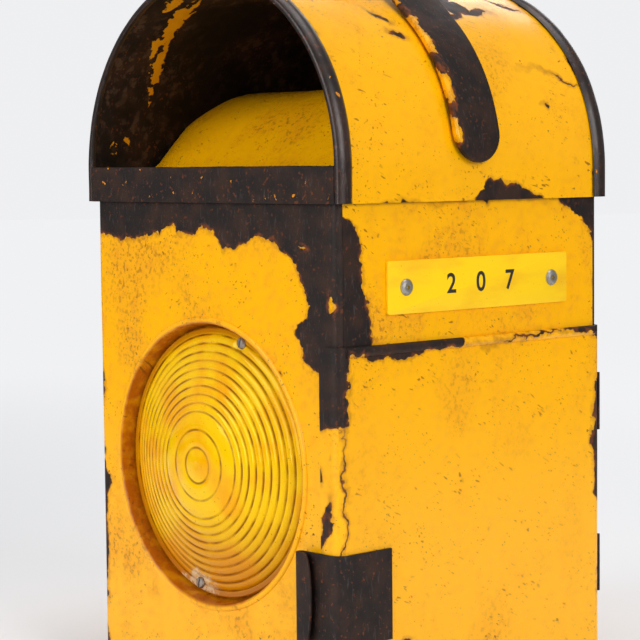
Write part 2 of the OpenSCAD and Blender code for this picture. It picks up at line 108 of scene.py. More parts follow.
class Bench:
    """The operators that shape a new piece."""

    @staticmethod
    def clear() -> None:
        """Leaves nothing selected."""
        bpy.ops.object.select_all(action="DESELECT")

    @staticmethod
    def choose(obj: bpy.types.Object) -> None:
        """Makes one piece the active one, with nothing else selected.

        Args:
            obj: the piece.
        """
        Bench.clear()
        obj.select_set(True)
        bpy.context.view_layer.objects.active = obj

    @staticmethod
    def edit(obj: bpy.types.Object) -> None:
        """Opens one piece in edit mode with nothing else selected."""
        Bench.choose(obj)
        bpy.ops.object.mode_set(mode="EDIT")

    @staticmethod
    def leave() -> None:
        """Goes back to object mode."""
        bpy.ops.object.mode_set(mode="OBJECT")

    @staticmethod
    def pick(obj: bpy.types.Object, wanted: Callable[[Vector], bool]) -> None:
        """Selects the vertices of the piece in edit mode whose place is wanted.

        Args:
            obj: the piece in edit mode.
            wanted: True for a place that gets selected.
        """
        mesh = bmesh.from_edit_mesh(obj.data)
        for vert in mesh.verts:
            vert.select = wanted(vert.co)
        mesh.select_flush(True)
        mesh.select_flush(False)
        bmesh.update_edit_mesh(obj.data)

    @staticmethod
    def trace(name: str, line: Sequence[Vector], closed: bool = False) -> bpy.types.Object:
        """Draws a line of edges, point by point.

        Args:
            name: the piece's name.
            line: its points in metres.
            closed: True joins the last point to the first.

        Returns:
            The piece, left in edit mode with the whole line selected.
        """
        Bench.clear()
        bpy.ops.mesh.primitive_plane_add(size=MM, location=line[0])
        obj = bpy.context.active_object
        obj.name = name
        obj.data.name = name
        bpy.ops.object.transform_apply(location=True, rotation=False, scale=False)
        bpy.ops.object.mode_set(mode="EDIT")
        bpy.ops.mesh.select_all(action="SELECT")
        bpy.ops.mesh.merge(type="CENTER")
        for before, after in zip(line, line[1:]):
            bpy.ops.mesh.extrude_vertices_move(TRANSFORM_OT_translate={"value": after - before})
        bpy.ops.mesh.select_all(action="SELECT")
        if closed:
            first, last = line[0], line[-1]
            Bench.pick(obj, lambda c: min((c - first).length, (c - last).length) < 1e-7)
            bpy.ops.mesh.edge_face_add()
            bpy.ops.mesh.select_all(action="SELECT")
        return obj

    @staticmethod
    def extrude(offset: Vector, steps: int = 1) -> None:
        """Draws the selection out along offset in equal steps."""
        for _ in range(steps):
            bpy.ops.mesh.extrude_region_move(TRANSFORM_OT_translate={"value": offset / steps})

    @staticmethod
    def spin(centre: Vector, axis: Vector, angle: float, steps: int) -> None:
        """Sweeps the selection round an axis by an angle in degrees."""
        bpy.ops.mesh.spin(steps=steps, angle=-math.radians(angle), center=centre, axis=axis)

    @staticmethod
    def tidy(obj: bpy.types.Object, outward: Callable[[Vector], Vector] | None = None) -> None:
        """Merges doubles and turns the faces outwards, then leaves edit mode.

        Args:
            obj: the piece in edit mode.
            outward: the direction that an open sheet's faces look in at a point, or None for a closed shape.
        """
        bpy.ops.mesh.select_all(action="SELECT")
        bpy.ops.mesh.remove_doubles(threshold=WELD)
        bpy.ops.mesh.normals_make_consistent(inside=False)
        if outward is not None:
            mesh = bmesh.from_edit_mesh(obj.data)
            side = sum(f.normal.dot(outward(f.calc_center_median())) * f.calc_area() for f in mesh.faces)
            if side < 0:
                bpy.ops.mesh.flip_normals()
        Bench.leave()

    @staticmethod
    def cap_ends() -> None:
        """Closes every open end of a swept outline."""
        bpy.ops.mesh.select_all(action="SELECT")
        bpy.ops.mesh.remove_doubles(threshold=WELD)
        bpy.ops.mesh.select_all(action="DESELECT")
        bpy.ops.mesh.select_non_manifold(extend=False)
        bpy.ops.mesh.fill_holes(sides=0)

    @staticmethod
    def modify(obj: bpy.types.Object, kind: str, **settings: object) -> None:
        """Adds a modifier with these settings and applies it.

        Args:
            obj: the piece.
            kind: the modifier's type.
            settings: its properties, by name.
        """
        Bench.choose(obj)
        modifier = obj.modifiers.new(kind.title(), kind)
        for name, value in settings.items():
            setattr(modifier, name, value)
        bpy.ops.object.modifier_apply(modifier=modifier.name)

    @staticmethod
    def dent(obj: bpy.types.Object, depth: float, size: float) -> None:
        """Makes sheet metal slightly uneven, inwards from its drawn surface.

        Args:
            obj: the piece.
            depth: full height of the unevenness in millimetres.
            size: width of one dent in millimetres.
        """
        clouds = bpy.data.textures.new(obj.name + "_dents", "CLOUDS")
        clouds.noise_scale = size * MM
        clouds.noise_depth = 1
        Bench.modify(obj, "DISPLACE", texture=clouds, texture_coords="LOCAL", strength=depth * MM,
                     mid_level=1.0)

    @staticmethod
    def thicken(obj: bpy.types.Object, thickness: float) -> None:
        """Gives a sheet its wall, inwards from the drawn surface, in millimetres."""
        Bench.modify(obj, "SOLIDIFY", thickness=thickness * MM, offset=-1.0)

    @staticmethod
    def round_edges(obj: bpy.types.Object, width: float, segments: int = 2, angle: float = 40.0) -> None:
        """Rounds the sharp edges of a piece by a width in millimetres."""
        Bench.modify(obj, "BEVEL", width=width * MM, segments=segments, limit_method="ANGLE",
                     angle_limit=math.radians(angle), use_clamp_overlap=True)

    @staticmethod
    def smooth(obj: bpy.types.Object, angle: float = 35.0) -> None:
        """Shades the piece smooth except over edges sharper than an angle."""
        Bench.choose(obj)
        bpy.ops.object.shade_smooth_by_angle(angle=math.radians(angle))

    @staticmethod
    def sheet(obj: bpy.types.Object, outward: Callable[[Vector], Vector], dents: Pair, thickness: float,
              angle: float = 35.0) -> bpy.types.Object:
        """Finishes a sheet: faces outwards, slightly uneven, with its wall, and shaded.

        Args:
            obj: the piece in edit mode.
            outward: the direction that its faces look in at a point.
            dents: depth and width of its dents in millimetres.
            thickness: its wall in millimetres.
            angle: edges sharper than this in degrees are shaded sharp.

        Returns:
            The finished piece.
        """
        Bench.tidy(obj, outward)
        Bench.dent(obj, *dents)
        Bench.thicken(obj, thickness)
        Bench.smooth(obj, angle)
        return obj

    @staticmethod
    def join(first: bpy.types.Object, *others: bpy.types.Object) -> bpy.types.Object:
        """Makes several meshes one piece, named after the first.

        Args:
            first: the piece that keeps its name.
            others: the pieces joined to it.

        Returns:
            The joined piece.
        """
        Bench.clear()
        for obj in (first, *others):
            obj.select_set(True)
        bpy.context.view_layer.objects.active = first
        bpy.ops.object.join()
        return first


# Materials


class Shader:
    """Adds and joins the nodes of one material. Lengths inside it are in millimetres."""

    def __init__(self, name: str) -> None:
        """Starts a material with one Principled surface.

        Args:
            name: the material's name.
        """
        self.material = bpy.data.materials.new(name)
        self.material.use_nodes = True
        self.tree = self.material.node_tree
        self.tree.nodes.clear()
        self.surface = self.tree.nodes.new("ShaderNodeBsdfPrincipled")
        output = self.tree.nodes.new("ShaderNodeOutputMaterial")
        self.tree.links.new(self.surface.outputs[0], output.inputs["Surface"])
        where = self.tree.nodes.new("ShaderNodeTexCoord").outputs["Object"]
        self.place = self.vector("SCALE", where, scale=1000.0)
        parts = self.tree.nodes.new("ShaderNodeSeparateXYZ")
        self.tree.links.new(self.place, parts.inputs[0])
        self.x, self.y, self.z = parts.outputs

    def put(self, socket: Socket, value: object) -> None:
        """Sets an input to a value, or joins it to a socket.

        Args:
            socket: the input.
            value: a number, a vector, a colour or a socket.
        """
        if isinstance(value, bpy.types.NodeSocket):
            self.tree.links.new(value, socket)
        else:
            socket.default_value = (*value, 1.0) if socket.type == "RGBA" and len(value) == 3 else value

    def finish(self, **inputs: object) -> bpy.types.Material:
        """Fills the Principled surface's inputs by name, with _ for a space, and returns the material.

        Args:
            inputs: values or sockets, by input name.

        Returns:
            The finished material.
        """
        for name, value in inputs.items():
            self.put(self.surface.inputs[name.replace("_", " ")], value)
        return self.material

    def math(self, kind: str, a: object, b: object = 0.0, c: object = 0.0, clamp: bool = False) -> Socket:
        """One Math node's result.

        Args:
            kind: the operation.
            a: its first value or socket.
            b: its second.
            c: its third.
            clamp: True holds the result to 0..1.

        Returns:
            The result.
        """
        node = self.tree.nodes.new("ShaderNodeMath")
        node.operation = kind
        node.use_clamp = clamp
        for socket, value in zip(node.inputs, (a, b, c)):
            self.put(socket, value)
        return node.outputs[0]

    def times(self, a: object, b: object) -> Socket:
        """The product of two values."""
        return self.math("MULTIPLY", a, b)

    def plus(self, a: object, b: object, clamp: bool = False) -> Socket:
        """The sum of two values, held to 0..1 if clamped."""
        return self.math("ADD", a, b, clamp=clamp)

    def minus(self, a: object, b: object) -> Socket:
        """The first value less the second."""
        return self.math("SUBTRACT", a, b)

    def least(self, a: object, b: object) -> Socket:
        """The smaller of two values."""
        return self.math("MINIMUM", a, b)

    def most(self, a: object, b: object) -> Socket:
        """The larger of two values."""
        return self.math("MAXIMUM", a, b)

    def vector(self, kind: str, a: object, b: object = None, scale: object = None) -> Socket:
        """One Vector Math node's result.

        Args:
            kind: the operation.
            a: its first vector or socket.
            b: its second, if it has one.
            scale: its scale, if it has one.

        Returns:
            The result, a number for LENGTH and DISTANCE.
        """
        node = self.tree.nodes.new("ShaderNodeVectorMath")
        node.operation = kind
        self.put(node.inputs[0], a)
        if b is not None:
            self.put(node.inputs[1], b)
        if scale is not None:
            self.put(node.inputs["Scale"], scale)
        return node.outputs["Value" if kind in ("LENGTH", "DISTANCE") else "Vector"]

    def combine(self, x: object, y: object, z: object = 0.0) -> Socket:
        """A vector from three values.

        Args:
            x: the first value.
            y: the second.
            z: the third.

        Returns:
            The vector.
        """
        node = self.tree.nodes.new("ShaderNodeCombineXYZ")
        for socket, value in zip(node.inputs, (x, y, z)):
            self.put(socket, value)
        return node.outputs[0]

    def noise(self, size: float, detail: float = 2.0, stretch: Triple = (1, 1, 1), colour: bool = False,
              shift: float = 0.0, vector: object = None) -> Socket:
        """Noise whose lumps are about size millimetres across, longer along a larger stretch.

        Args:
            size: width of a lump.
            detail: how many finer layers it has.
            stretch: how much longer the lumps are along each axis.
            colour: True gives three values in place of one.
            shift: moves the pattern, so that each use differs.
            vector: the place to use instead of the piece's own.

        Returns:
            The noise, about 0 to 1.
        """
        node = self.tree.nodes.new("ShaderNodeTexNoise")
        node.inputs["Scale"].default_value = 1.0 / size
        node.inputs["Detail"].default_value = detail
        place = self.vector("ADD", vector or self.place, (shift, 1.7 * shift, 2.3 * shift))
        if stretch != (1, 1, 1):
            place = self.vector("MULTIPLY", place, tuple(1.0 / s for s in stretch))
        self.put(node.inputs["Vector"], place)
        return node.outputs[1 if colour else 0]

    def ramp(self, value: object, low: object, high: object, to_low: object = 0.0,
             to_high: object = 1.0) -> Socket:
        """A smooth step from to_low to to_high as value goes from low to high.

        Args:
            value: what is measured.
            low: where the step starts.
            high: where it ends.
            to_low: the result before the step.
            to_high: the result after it.

        Returns:
            The stepped value.
        """
        node = self.tree.nodes.new("ShaderNodeMapRange")
        node.interpolation_type = "SMOOTHSTEP"
        for index, item in enumerate((value, low, high, to_low, to_high)):
            self.put(node.inputs[index], item)
        return node.outputs[0]

    def blend(self, amount: object, a: object, b: object) -> Socket:
        """Colour a where amount is 0 and b where it is 1.

        Args:
            amount: the share of b.
            a: the first colour.
            b: the second colour.

        Returns:
            The mixed colour.
        """
        node = self.tree.nodes.new("ShaderNodeMix")
        node.data_type = "RGBA"
        self.put(node.inputs[0], amount)
        self.put(node.inputs[6], a)
        self.put(node.inputs[7], b)
        return node.outputs[2]

    def relief(self, height: object, strength: float = 1.0) -> Socket:
        """A normal bent by a height in millimetres.

        Args:
            height: the height.
            strength: the share of it that shows.

        Returns:
            The normal.
        """
        node = self.tree.nodes.new("ShaderNodeBump")
        node.inputs["Strength"].default_value = strength
        node.inputs["Distance"].default_value = MM
        self.put(node.inputs["Height"], height)
        return node.outputs[0]


@dataclass(frozen=True)
class Patch:
    """A patch where paint has gone: an ellipse in the panel's plane, in millimetres and degrees."""

    across: float
    up: float
    half_width: float
    half_height: float
    turn: float = 0.0


@dataclass(frozen=True)
class Border:
    """A ragged border of bare metal along one side of a panel.

    along is "up" where knots give the bare region's height limit across the panel, and "across" where they
    give its sideways limit up the panel. beyond is 1 where metal is bare past the limit and -1 before it.
    """

    along: str
    beyond: int
    knots: tuple[Pair, ...]


@dataclass(frozen=True)
class ChippedPaint:
    """Yellow gloss paint, grimy and scratched, chipped down to rusted steel."""

    name: str
    plane: Plane = Plane.SIDE
    borders: tuple[Border, ...] = ()
    patches: tuple[Patch, ...] = ()
    islands: tuple[Patch, ...] = ()
    wash: Wash = Wash.MEDIUM
    chip_size: float = 9.0
    chip_level: float = 0.80
    # ring: centre across, centre up and reach of the lens recess; inside it the paint turns amber, partly
    # grime and partly painted shade
    ring: Triple | None = None
    springing: float = 263.0
    canopy_radius: float = 95.2

    def layout(self, ink: Shader) -> Socket:
        """The place in the panel's plane, across and up, in millimetres.

        Args:
            ink: the material's nodes.

        Returns:
            Across and up, as the first two parts of a vector.
        """
        if self.plane is Plane.FRONT:
            return ink.combine(ink.x, ink.z)
        if self.plane is Plane.SIDE:
            return ink.combine(ink.y, ink.z)
        over = ink.minus(ink.z, self.springing)
        turn = ink.math("ARCTAN2", ink.most(over, 0.0), ink.x)
        round_up = ink.times(turn, self.canopy_radius)
        return ink.combine(ink.y, ink.plus(round_up, ink.least(over, 0.0)))

    def ragged(self, ink: Shader, place: Socket) -> Socket:
        """The place pushed about by noise, so that a border has torn edges.

        Args:
            ink: the material's nodes.
            place: a place in the panel's plane, in millimetres.

        Returns:
            The place, shaken.
        """
        for size, push in ((26.0, 9.0), (7.0, 4.4), (2.2, 1.7)):
            shake = ink.vector("SUBTRACT", ink.noise(size, 1.0, colour=True, shift=size), (0.5, 0.5, 0.5))
            place = ink.vector("ADD", place, ink.vector("SCALE", shake, scale=push * 1.6))
        return place

    def border_distance(self, ink: Shader, place: Socket, border: Border) -> Socket:
        """Millimetres of paint between a place and a border, negative on the bare side.

        Args:
            ink: the material's nodes.
            place: a place in the panel's plane, in millimetres.
            border: the border.

        Returns:
            The distance.
        """
        parts = ink.tree.nodes.new("ShaderNodeSeparateXYZ")
        ink.put(parts.inputs[0], place)
        run, rise = (parts.outputs[0], parts.outputs[1]) if border.along == "up" else (
            parts.outputs[1], parts.outputs[0])
        first, last = border.knots[0][0], border.knots[-1][0]
        low = min(k[1] for k in border.knots) - 1.0
        high = max(k[1] for k in border.knots) + 1.0
        curve = ink.tree.nodes.new("ShaderNodeFloatCurve")
        line = curve.mapping.curves[0]
        while len(line.points) < len(border.knots):
            line.points.new(0.5, 0.5)
        for dot, (u, v) in zip(line.points, border.knots):
            dot.location = ((u - first) / (last - first), (v - low) / (high - low))
            dot.handle_type = "VECTOR"
        curve.mapping.update()
        ink.put(curve.inputs["Value"], ink.math("DIVIDE", ink.minus(run, first), last - first, clamp=True))
        limit = ink.math("MULTIPLY_ADD", curve.outputs[0], high - low, low)
        gap = ink.minus(limit, rise)
        return ink.times(gap, float(border.beyond))

    def patch_distance(self, ink: Shader, place: Socket, patch: Patch) -> Socket:
        """Millimetres of paint between a place and a patch, negative inside it.

        Args:
            ink: the material's nodes.
            place: a place in the panel's plane, in millimetres.
            patch: the patch.

        Returns:
            The distance.
        """
        node = ink.tree.nodes.new("ShaderNodeMapping")
        node.vector_type = "TEXTURE"
        node.inputs["Location"].default_value = (patch.across, patch.up, 0)
        node.inputs["Rotation"].default_value = (0, 0, math.radians(patch.turn))
        node.inputs["Scale"].default_value = (patch.half_width, patch.half_height, 1000)
        ink.put(node.inputs["Vector"], place)
        away = ink.vector("LENGTH", node.outputs[0])
        size = min(patch.half_width, patch.half_height)
        return ink.times(ink.minus(away, 1.0), size)

    def thickness(self, ink: Shader) -> Socket:
        """Distance from the nearest bare metal, negative where the metal is bare.

        Args:
            ink: the material's nodes.

        Returns:
            The distance in millimetres.
        """
        place = self.ragged(ink, self.layout(ink))
        chips = ink.minus(self.chip_level, ink.noise(self.chip_size, 3.0, shift=40.0))
        gap = ink.times(chips, self.chip_size * 2.5)
        for border in self.borders:
            gap = ink.least(gap, self.border_distance(ink, place, border))
        for patch in self.patches:
            gap = ink.least(gap, self.patch_distance(ink, place, patch))
        for island in self.islands:
            left = ink.times(self.patch_distance(ink, place, island), -1.0)
            gap = ink.most(gap, left)
        return gap

    def make(self) -> bpy.types.Material:
        """Builds the material.

        Returns:
            The material.
        """
        ink = Shader(self.name)
        gap = self.thickness(ink)
        fleck = ink.noise(1.5, 2.0, shift=11.0)
        paint = ink.ramp(gap, -0.16, 0.16)
        pits = ink.times(ink.ramp(fleck, 0.70, 0.74), ink.ramp(ink.noise(26.0, 3.0, shift=21.0), 0.48, 0.62))
        dirt = ink.ramp(ink.noise(38.0, 6.0, (1, 1, 1.6), shift=5.0), 0.44, 0.68)
        speckle = ink.ramp(ink.noise(4.5, 5.0, shift=23.0), 0.50, 0.66)
        worn = ink.times(ink.plus(ink.times(dirt, 0.7),
                                             ink.times(speckle, 0.45)), self.wash.value)
        colour = ink.blend(worn, YELLOW, DULL_YELLOW)
        stain = ink.times(dirt, ink.ramp(ink.noise(2.2, 6.0, shift=31.0), 0.51, 0.64))
        # Inside the lens recess the paint is blended to amber: grime, and painted shade where the recess
        # lies in shadow.
        if self.ring:
            across, up, reach = self.ring
            parts = ink.vector("SUBTRACT", self.layout(ink), (across, up, 0))
            inside = ink.ramp(ink.vector("LENGTH", parts), reach, reach - 1.6)
            grime_and_shade_share = ink.ramp(ink.noise(6.0, 4.0, shift=27.0), 0.25, 0.62, 0.55, 1.0)
            colour = ink.blend(ink.times(inside, grime_and_shade_share), colour, AMBER_GRIME_AND_SHADE)
        colour = ink.blend(ink.times(stain, self.wash.value), colour, GRIME)
        scratch = self.scratches(ink)
        colour = ink.blend(ink.times(scratch, 0.75), colour, GRIME)
        rim = ink.times(ink.ramp(gap, 2.6, 0.0), ink.noise(3.0, 2.0, shift=3.0))
        colour = ink.blend(ink.times(rim, 0.75), colour, GRIME)
        colour = ink.blend(pits, colour, BURNT_BROWN)
        steel, steel_rough, steel_height = BurntSteel.grain(ink)
        creep = ink.times(ink.ramp(gap, -2.4, -0.1), ink.ramp(ink.noise(5.0, 2.0, shift=8.0), 0.4, 0.6))
        steel = ink.blend(creep, steel, RUST)
        height = ink.times(paint, 0.22)
        orange_peel = ink.times(ink.noise(3.2, 2.0, shift=2.0), 0.05)
        height = ink.plus(ink.plus(height, orange_peel), ink.times(pits, -0.08))
        bare = ink.minus(1.0, paint)
        height = ink.plus(height, ink.times(steel_height, bare))
        rough = ink.plus(0.24, ink.times(worn, 0.35))
        rough = ink.plus(ink.times(rough, paint), ink.times(steel_rough, bare))
        return ink.finish(Base_Color=ink.blend(paint, steel, colour), Roughness=rough,
                          Metallic=ink.times(bare, 0.15), Normal=ink.relief(height),
                          Specular_IOR_Level=0.3)

    @staticmethod
    def scratches(ink: Shader) -> Socket:
        """Fine scratches in three directions.

        Args:
            ink: the material's nodes.

        Returns:
            0 off the scratches and up to 1 on them.
        """
        total: object = 0.0
        for shift, turn in ((60.0, 0.5), (71.0, 1.9), (83.0, 2.6)):
            node = ink.tree.nodes.new("ShaderNodeMapping")
            node.inputs["Rotation"].default_value = (turn, turn, turn * 0.7)
            ink.put(node.inputs["Vector"], ink.place)
            streak = ink.noise(1.1, 0.0, (1, 34, 1), shift=shift, vector=node.outputs[0])
            place = ink.ramp(ink.noise(24.0, 1.0, shift=shift), 0.50, 0.66)
            total = ink.plus(total, ink.times(ink.ramp(streak, 0.74, 0.79), place), clamp=True)
        return total


@dataclass(frozen=True)
class BurntSteel:
    """Steel that has lost its paint to heat and weather: brown-black, with rust, and worn grey that also
    stands for a painted sheen.
    """

    name: str
    rust: float = 0.45
    sheen: float = 0.3
    old_paint: float = 0.0
    polish: float = 0.0

    @staticmethod
    def grain(ink: Shader, rust: float = 0.45, sheen: float = 0.3) -> tuple[Socket, Socket, Socket]:
        """Colour, roughness and height of the bare metal.

        Args:
            ink: the material's nodes.
            rust: how strongly the rust spots show.
            sheen: how strongly the worn grey, partly a painted sheen, shows.

        Returns:
            The colour, roughness and height.
        """
        cloud = ink.ramp(ink.noise(13.0, 5.0, shift=17.0), 0.38, 0.66)
        colour = ink.blend(cloud, BURNT, BURNT_BROWN)
        spots = ink.ramp(ink.noise(2.1, 5.0, shift=29.0), 0.60, 0.70)
        colour = ink.blend(ink.times(spots, rust), colour, RUST)
        # Lighter grey streaks: worn steel, and a painted sheen.
        rubbed_and_sheen = ink.ramp(ink.noise(1.3, 3.0, (1, 1, 5), shift=37.0), 0.58, 0.74)
        colour = ink.blend(ink.times(rubbed_and_sheen, sheen), colour, WORN_GREY_AND_SHEEN)
        rough = ink.plus(0.42, ink.times(ink.noise(6.0, 4.0, shift=19.0), 0.3))
        height = ink.times(ink.noise(1.0, 4.0, shift=13.0), 0.07)
        return colour, rough, height

    def make(self) -> bpy.types.Material:
        """Builds the material.

        Returns:
            The material.
        """
        ink = Shader(self.name)
        colour, rough, height = self.grain(ink, self.rust, self.sheen)
        if self.old_paint:
            left = ink.ramp(ink.noise(6.5, 4.0, shift=51.0), 0.72 - self.old_paint, 0.74 - self.old_paint)
            colour = ink.blend(left, colour, DULL_YELLOW)
            height = ink.plus(height, ink.times(left, 0.15))
        rough = ink.minus(rough, self.polish)
        return ink.finish(Base_Color=colour, Roughness=rough, Metallic=0.15,
                          Specular_IOR_Level=0.3 + self.polish, Normal=ink.relief(height))


@dataclass(frozen=True)
class SootedLining:
    """The inside of the hood: soot and rust, with a streak where yellow paint is left."""

    name: str
    streaks: tuple[Patch, ...] = ()

    def make(self) -> bpy.types.Material:
        """Builds the material.

        Returns:
            The material.
        """
        ink = Shader(self.name)
        colour, rough, height = BurntSteel.grain(ink, 0.75, 0.25)
        flakes = ink.ramp(ink.noise(5.0, 6.0, shift=41.0), 0.50, 0.64)
        colour = ink.blend(ink.times(flakes, 0.55), colour, (0.10, 0.055, 0.03))
        soot = ink.ramp(ink.noise(30.0, 5.0, shift=6.0), 0.42, 0.62)
        colour = ink.blend(ink.times(soot, 0.85), colour, (0.004, 0.0025, 0.002))
        paint = ChippedPaint(self.name, Plane.VAULT)
        place = paint.ragged(ink, paint.layout(ink))
        gap: object = 9.0
        for patch in self.streaks:
            gap = ink.least(gap, paint.patch_distance(ink, place, patch))
        torn = ink.times(ink.ramp(ink.noise(4.0, 5.0, shift=61.0), 0.44, 0.60), 3.2)
        left = ink.ramp(ink.plus(gap, torn), 0.3, -0.3)
        old = ink.blend(ink.noise(8.0, 4.0, shift=9.0), DULL_YELLOW, YELLOW)
        return ink.finish(Base_Color=ink.blend(left, colour, old), Roughness=ink.most(rough, 0.62),
                          Specular_IOR_Level=0.2,
                          Normal=ink.relief(ink.plus(height, ink.times(left, 0.15))))


@dataclass(frozen=True)
class AmberLens:
    """Moulded amber plastic, lit through, with grime and painted shade in its grooves, painted shade towards
    its lower part, and an edge darkened by haze and painted shade.
    """

    name: str
    centre: Pair = (-3.0, 117.0)
    grooves: tuple[float, ...] = ()
    reach: float = 64.0
    crack: Pair = (0.0, -64.0)

    def make(self) -> bpy.types.Material:
        """Builds the material.

        Returns:
            The material.
        """
        ink = Shader(self.name)
        across = ink.minus(ink.x, self.centre[0])
        up = ink.minus(ink.z, self.centre[1])
        radius = ink.vector("LENGTH", ink.combine(across, up))
        haze = ink.ramp(ink.noise(24.0, 5.0, shift=4.0), 0.42, 0.66)
        colour = ink.blend(haze, (1.0, 0.60, 0.001), (0.95, 0.42, 0.001))
        # Painted shade: the lens turns darker amber towards its lower part, as if shaded there.
        low = ink.plus(up, ink.times(ink.noise(20.0, 2.0, shift=2.0), 14.0))
        colour = ink.blend(ink.ramp(low, -8.0, -50.0, 0.0, 0.75), colour, (0.60, 0.19, 0.001))
        # Dark amber in the grooves between the ribs: grime, and painted shade in the creases.
        gap: object = 99.0
        for ring in self.grooves:
            gap = ink.least(gap, ink.math("ABSOLUTE", ink.minus(radius, ring)))
        patchy = ink.ramp(ink.noise(12.0, 4.0, shift=9.0), 0.34, 0.62, 0.25, 1.0)
        dirt = ink.times(ink.ramp(gap, 0.9, 0.15), patchy)
        colour = ink.blend(ink.times(dirt, 0.9), colour, (0.24, 0.055, 0.001))
        # The edge past the dome is darkened to amber: haze, and painted shade from the recess wall.
        edge = ink.ramp(radius, self.reach - 0.5, self.reach + 1.5)
        colour = ink.blend(ink.times(edge, 0.75), colour, AMBER_GRIME_AND_SHADE)
        spread = ink.times(ink.minus(across, self.crack[0]), 0.55)
        scuff_at = ink.combine(spread, ink.minus(up, self.crack[1]))
        shake = ink.vector("SUBTRACT", ink.noise(6.0, 3.0, colour=True), (0.5, 0.5, 0.5))
        shaken = ink.vector("ADD", scuff_at, ink.vector("SCALE", shake, scale=12.0))
        scuff = ink.times(ink.ramp(ink.vector("LENGTH", shaken), 8.5, 5.5),
                         ink.ramp(ink.noise(1.8, 4.0, shift=14.0), 0.30, 0.5))
        colour = ink.blend(ink.times(scuff, 0.8), colour, (0.70, 0.52, 0.33))
        marks = ink.ramp(ink.noise(1.2, 3.0, shift=44.0), 0.68, 0.73)
        colour = ink.blend(ink.times(marks, 0.6), colour, GRIME)
        rough = ink.plus(0.12, ink.times(ink.plus(scuff, dirt), 0.3))
        height = ink.times(ink.noise(7.0, 2.0, shift=7.0), 0.05)
        return ink.finish(Base_Color=colour, Roughness=rough, IOR=1.49, Normal=ink.relief(height),
                          Transmission_Weight=0.12, Specular_IOR_Level=0.5, Specular_Tint=(1.0, 0.80, 0.25))


@dataclass(frozen=True)
class Metal:
    """A plain metal with stains and fine grain."""

    name: str
    colour: Colour
    stain: Colour = (0.05, 0.03, 0.02)
    metallic: float = 1.0
    roughness: float = 0.35
    stained: float = 0.5
    grain: float = 0.03

    def make(self) -> bpy.types.Material:
        """Builds the material.

        Returns:
            The material.
        """
        ink = Shader(self.name)
        dull = ink.times(ink.ramp(ink.noise(9.0, 5.0, shift=12.0), 0.45, 0.72), self.stained)
        spots = ink.times(ink.ramp(ink.noise(1.6, 4.0, shift=33.0), 0.62, 0.72), self.stained)
        colour = ink.blend(ink.most(dull, spots), self.colour, self.stain)
        rough = ink.plus(self.roughness, ink.times(dull, 0.3))
        height = ink.times(ink.noise(0.9, 3.0, (1, 1, 4), shift=15.0), self.grain)
        return ink.finish(Base_Color=colour, Roughness=rough, Metallic=self.metallic,
                          Normal=ink.relief(height))


@dataclass(frozen=True)
class Laminate:
    """Yellow plate plastic with fine dirt and rubbed edges."""

    name: str
    colour: Colour = (1.0, 0.62, 0.002)

    def make(self) -> bpy.types.Material:
        """Builds the material.

        Returns:
            The material.
        """
        ink = Shader(self.name)
        dirt = ink.ramp(ink.noise(14.0, 5.0, (1, 3, 1), shift=18.0), 0.45, 0.75)
        colour = ink.blend(ink.times(dirt, 0.45), self.colour, DULL_YELLOW)
        flecks = ink.ramp(ink.noise(1.0, 3.0, shift=25.0), 0.71, 0.76)
        colour = ink.blend(ink.times(flecks, 0.8), colour, GRIME)
        rough = ink.plus(0.38, ink.times(dirt, 0.25))
        return ink.finish(Base_Color=colour, Roughness=rough, Specular_IOR_Level=0.3,
                          Normal=ink.relief(ink.times(ink.noise(2.0, 3.0), 0.03)))


@dataclass(frozen=True)
class Cotton:
    """Woven lamp cotton, charred at the top."""

    name: str
    top: float = 100.0

    def make(self) -> bpy.types.Material:
        """Builds the material.

        Returns:
            The material.
        """
        ink = Shader(self.name)
        weave = ink.tree.nodes.new("ShaderNodeTexWave")
        weave.inputs["Scale"].default_value = 1.0
        weave.inputs["Distortion"].default_value = 1.5
        ink.put(weave.inputs["Vector"], ink.vector("MULTIPLY", ink.place, (0.5, 0.5, 0.5)))
        char = ink.ramp(ink.plus(ink.z, ink.times(ink.noise(2.0), 3.0)), self.top - 4, self.top)
        colour = ink.blend(char, (0.50, 0.42, 0.28), (0.01, 0.009, 0.008))
        return ink.finish(Base_Color=colour, Roughness=0.95, Sheen_Weight=0.3,
                          Normal=ink.relief(ink.times(weave.outputs[1], 0.2)))


def dress(obj: bpy.types.Object, material: bpy.types.Material) -> None:
    """Gives a piece one material all over."""
    obj.data.materials.clear()
    obj.data.materials.append(material)


def dress_nodes(material: bpy.types.Material, *nodes: str) -> None:
    """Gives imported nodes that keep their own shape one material.

    Args:
        material: the material.
        nodes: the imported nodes' names.
    """
    for node in nodes:
        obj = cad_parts[node]
        for slot in obj.material_slots:
            slot.material = material
        if not obj.material_slots:
            obj.data.materials.append(material)
        LOG.info("%s keeps its packed shape", node)


def place(obj: bpy.types.Object, body: str, slot: str, *nodes: str) -> None:
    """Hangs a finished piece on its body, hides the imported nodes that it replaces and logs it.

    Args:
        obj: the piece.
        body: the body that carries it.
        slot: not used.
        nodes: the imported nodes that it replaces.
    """
    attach(obj, body)
    if nodes:
        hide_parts(*nodes)
    LOG.info("%s rides on %s, %d faces", obj.name, body, len(obj.data.polygons))


# Sub-assemblies


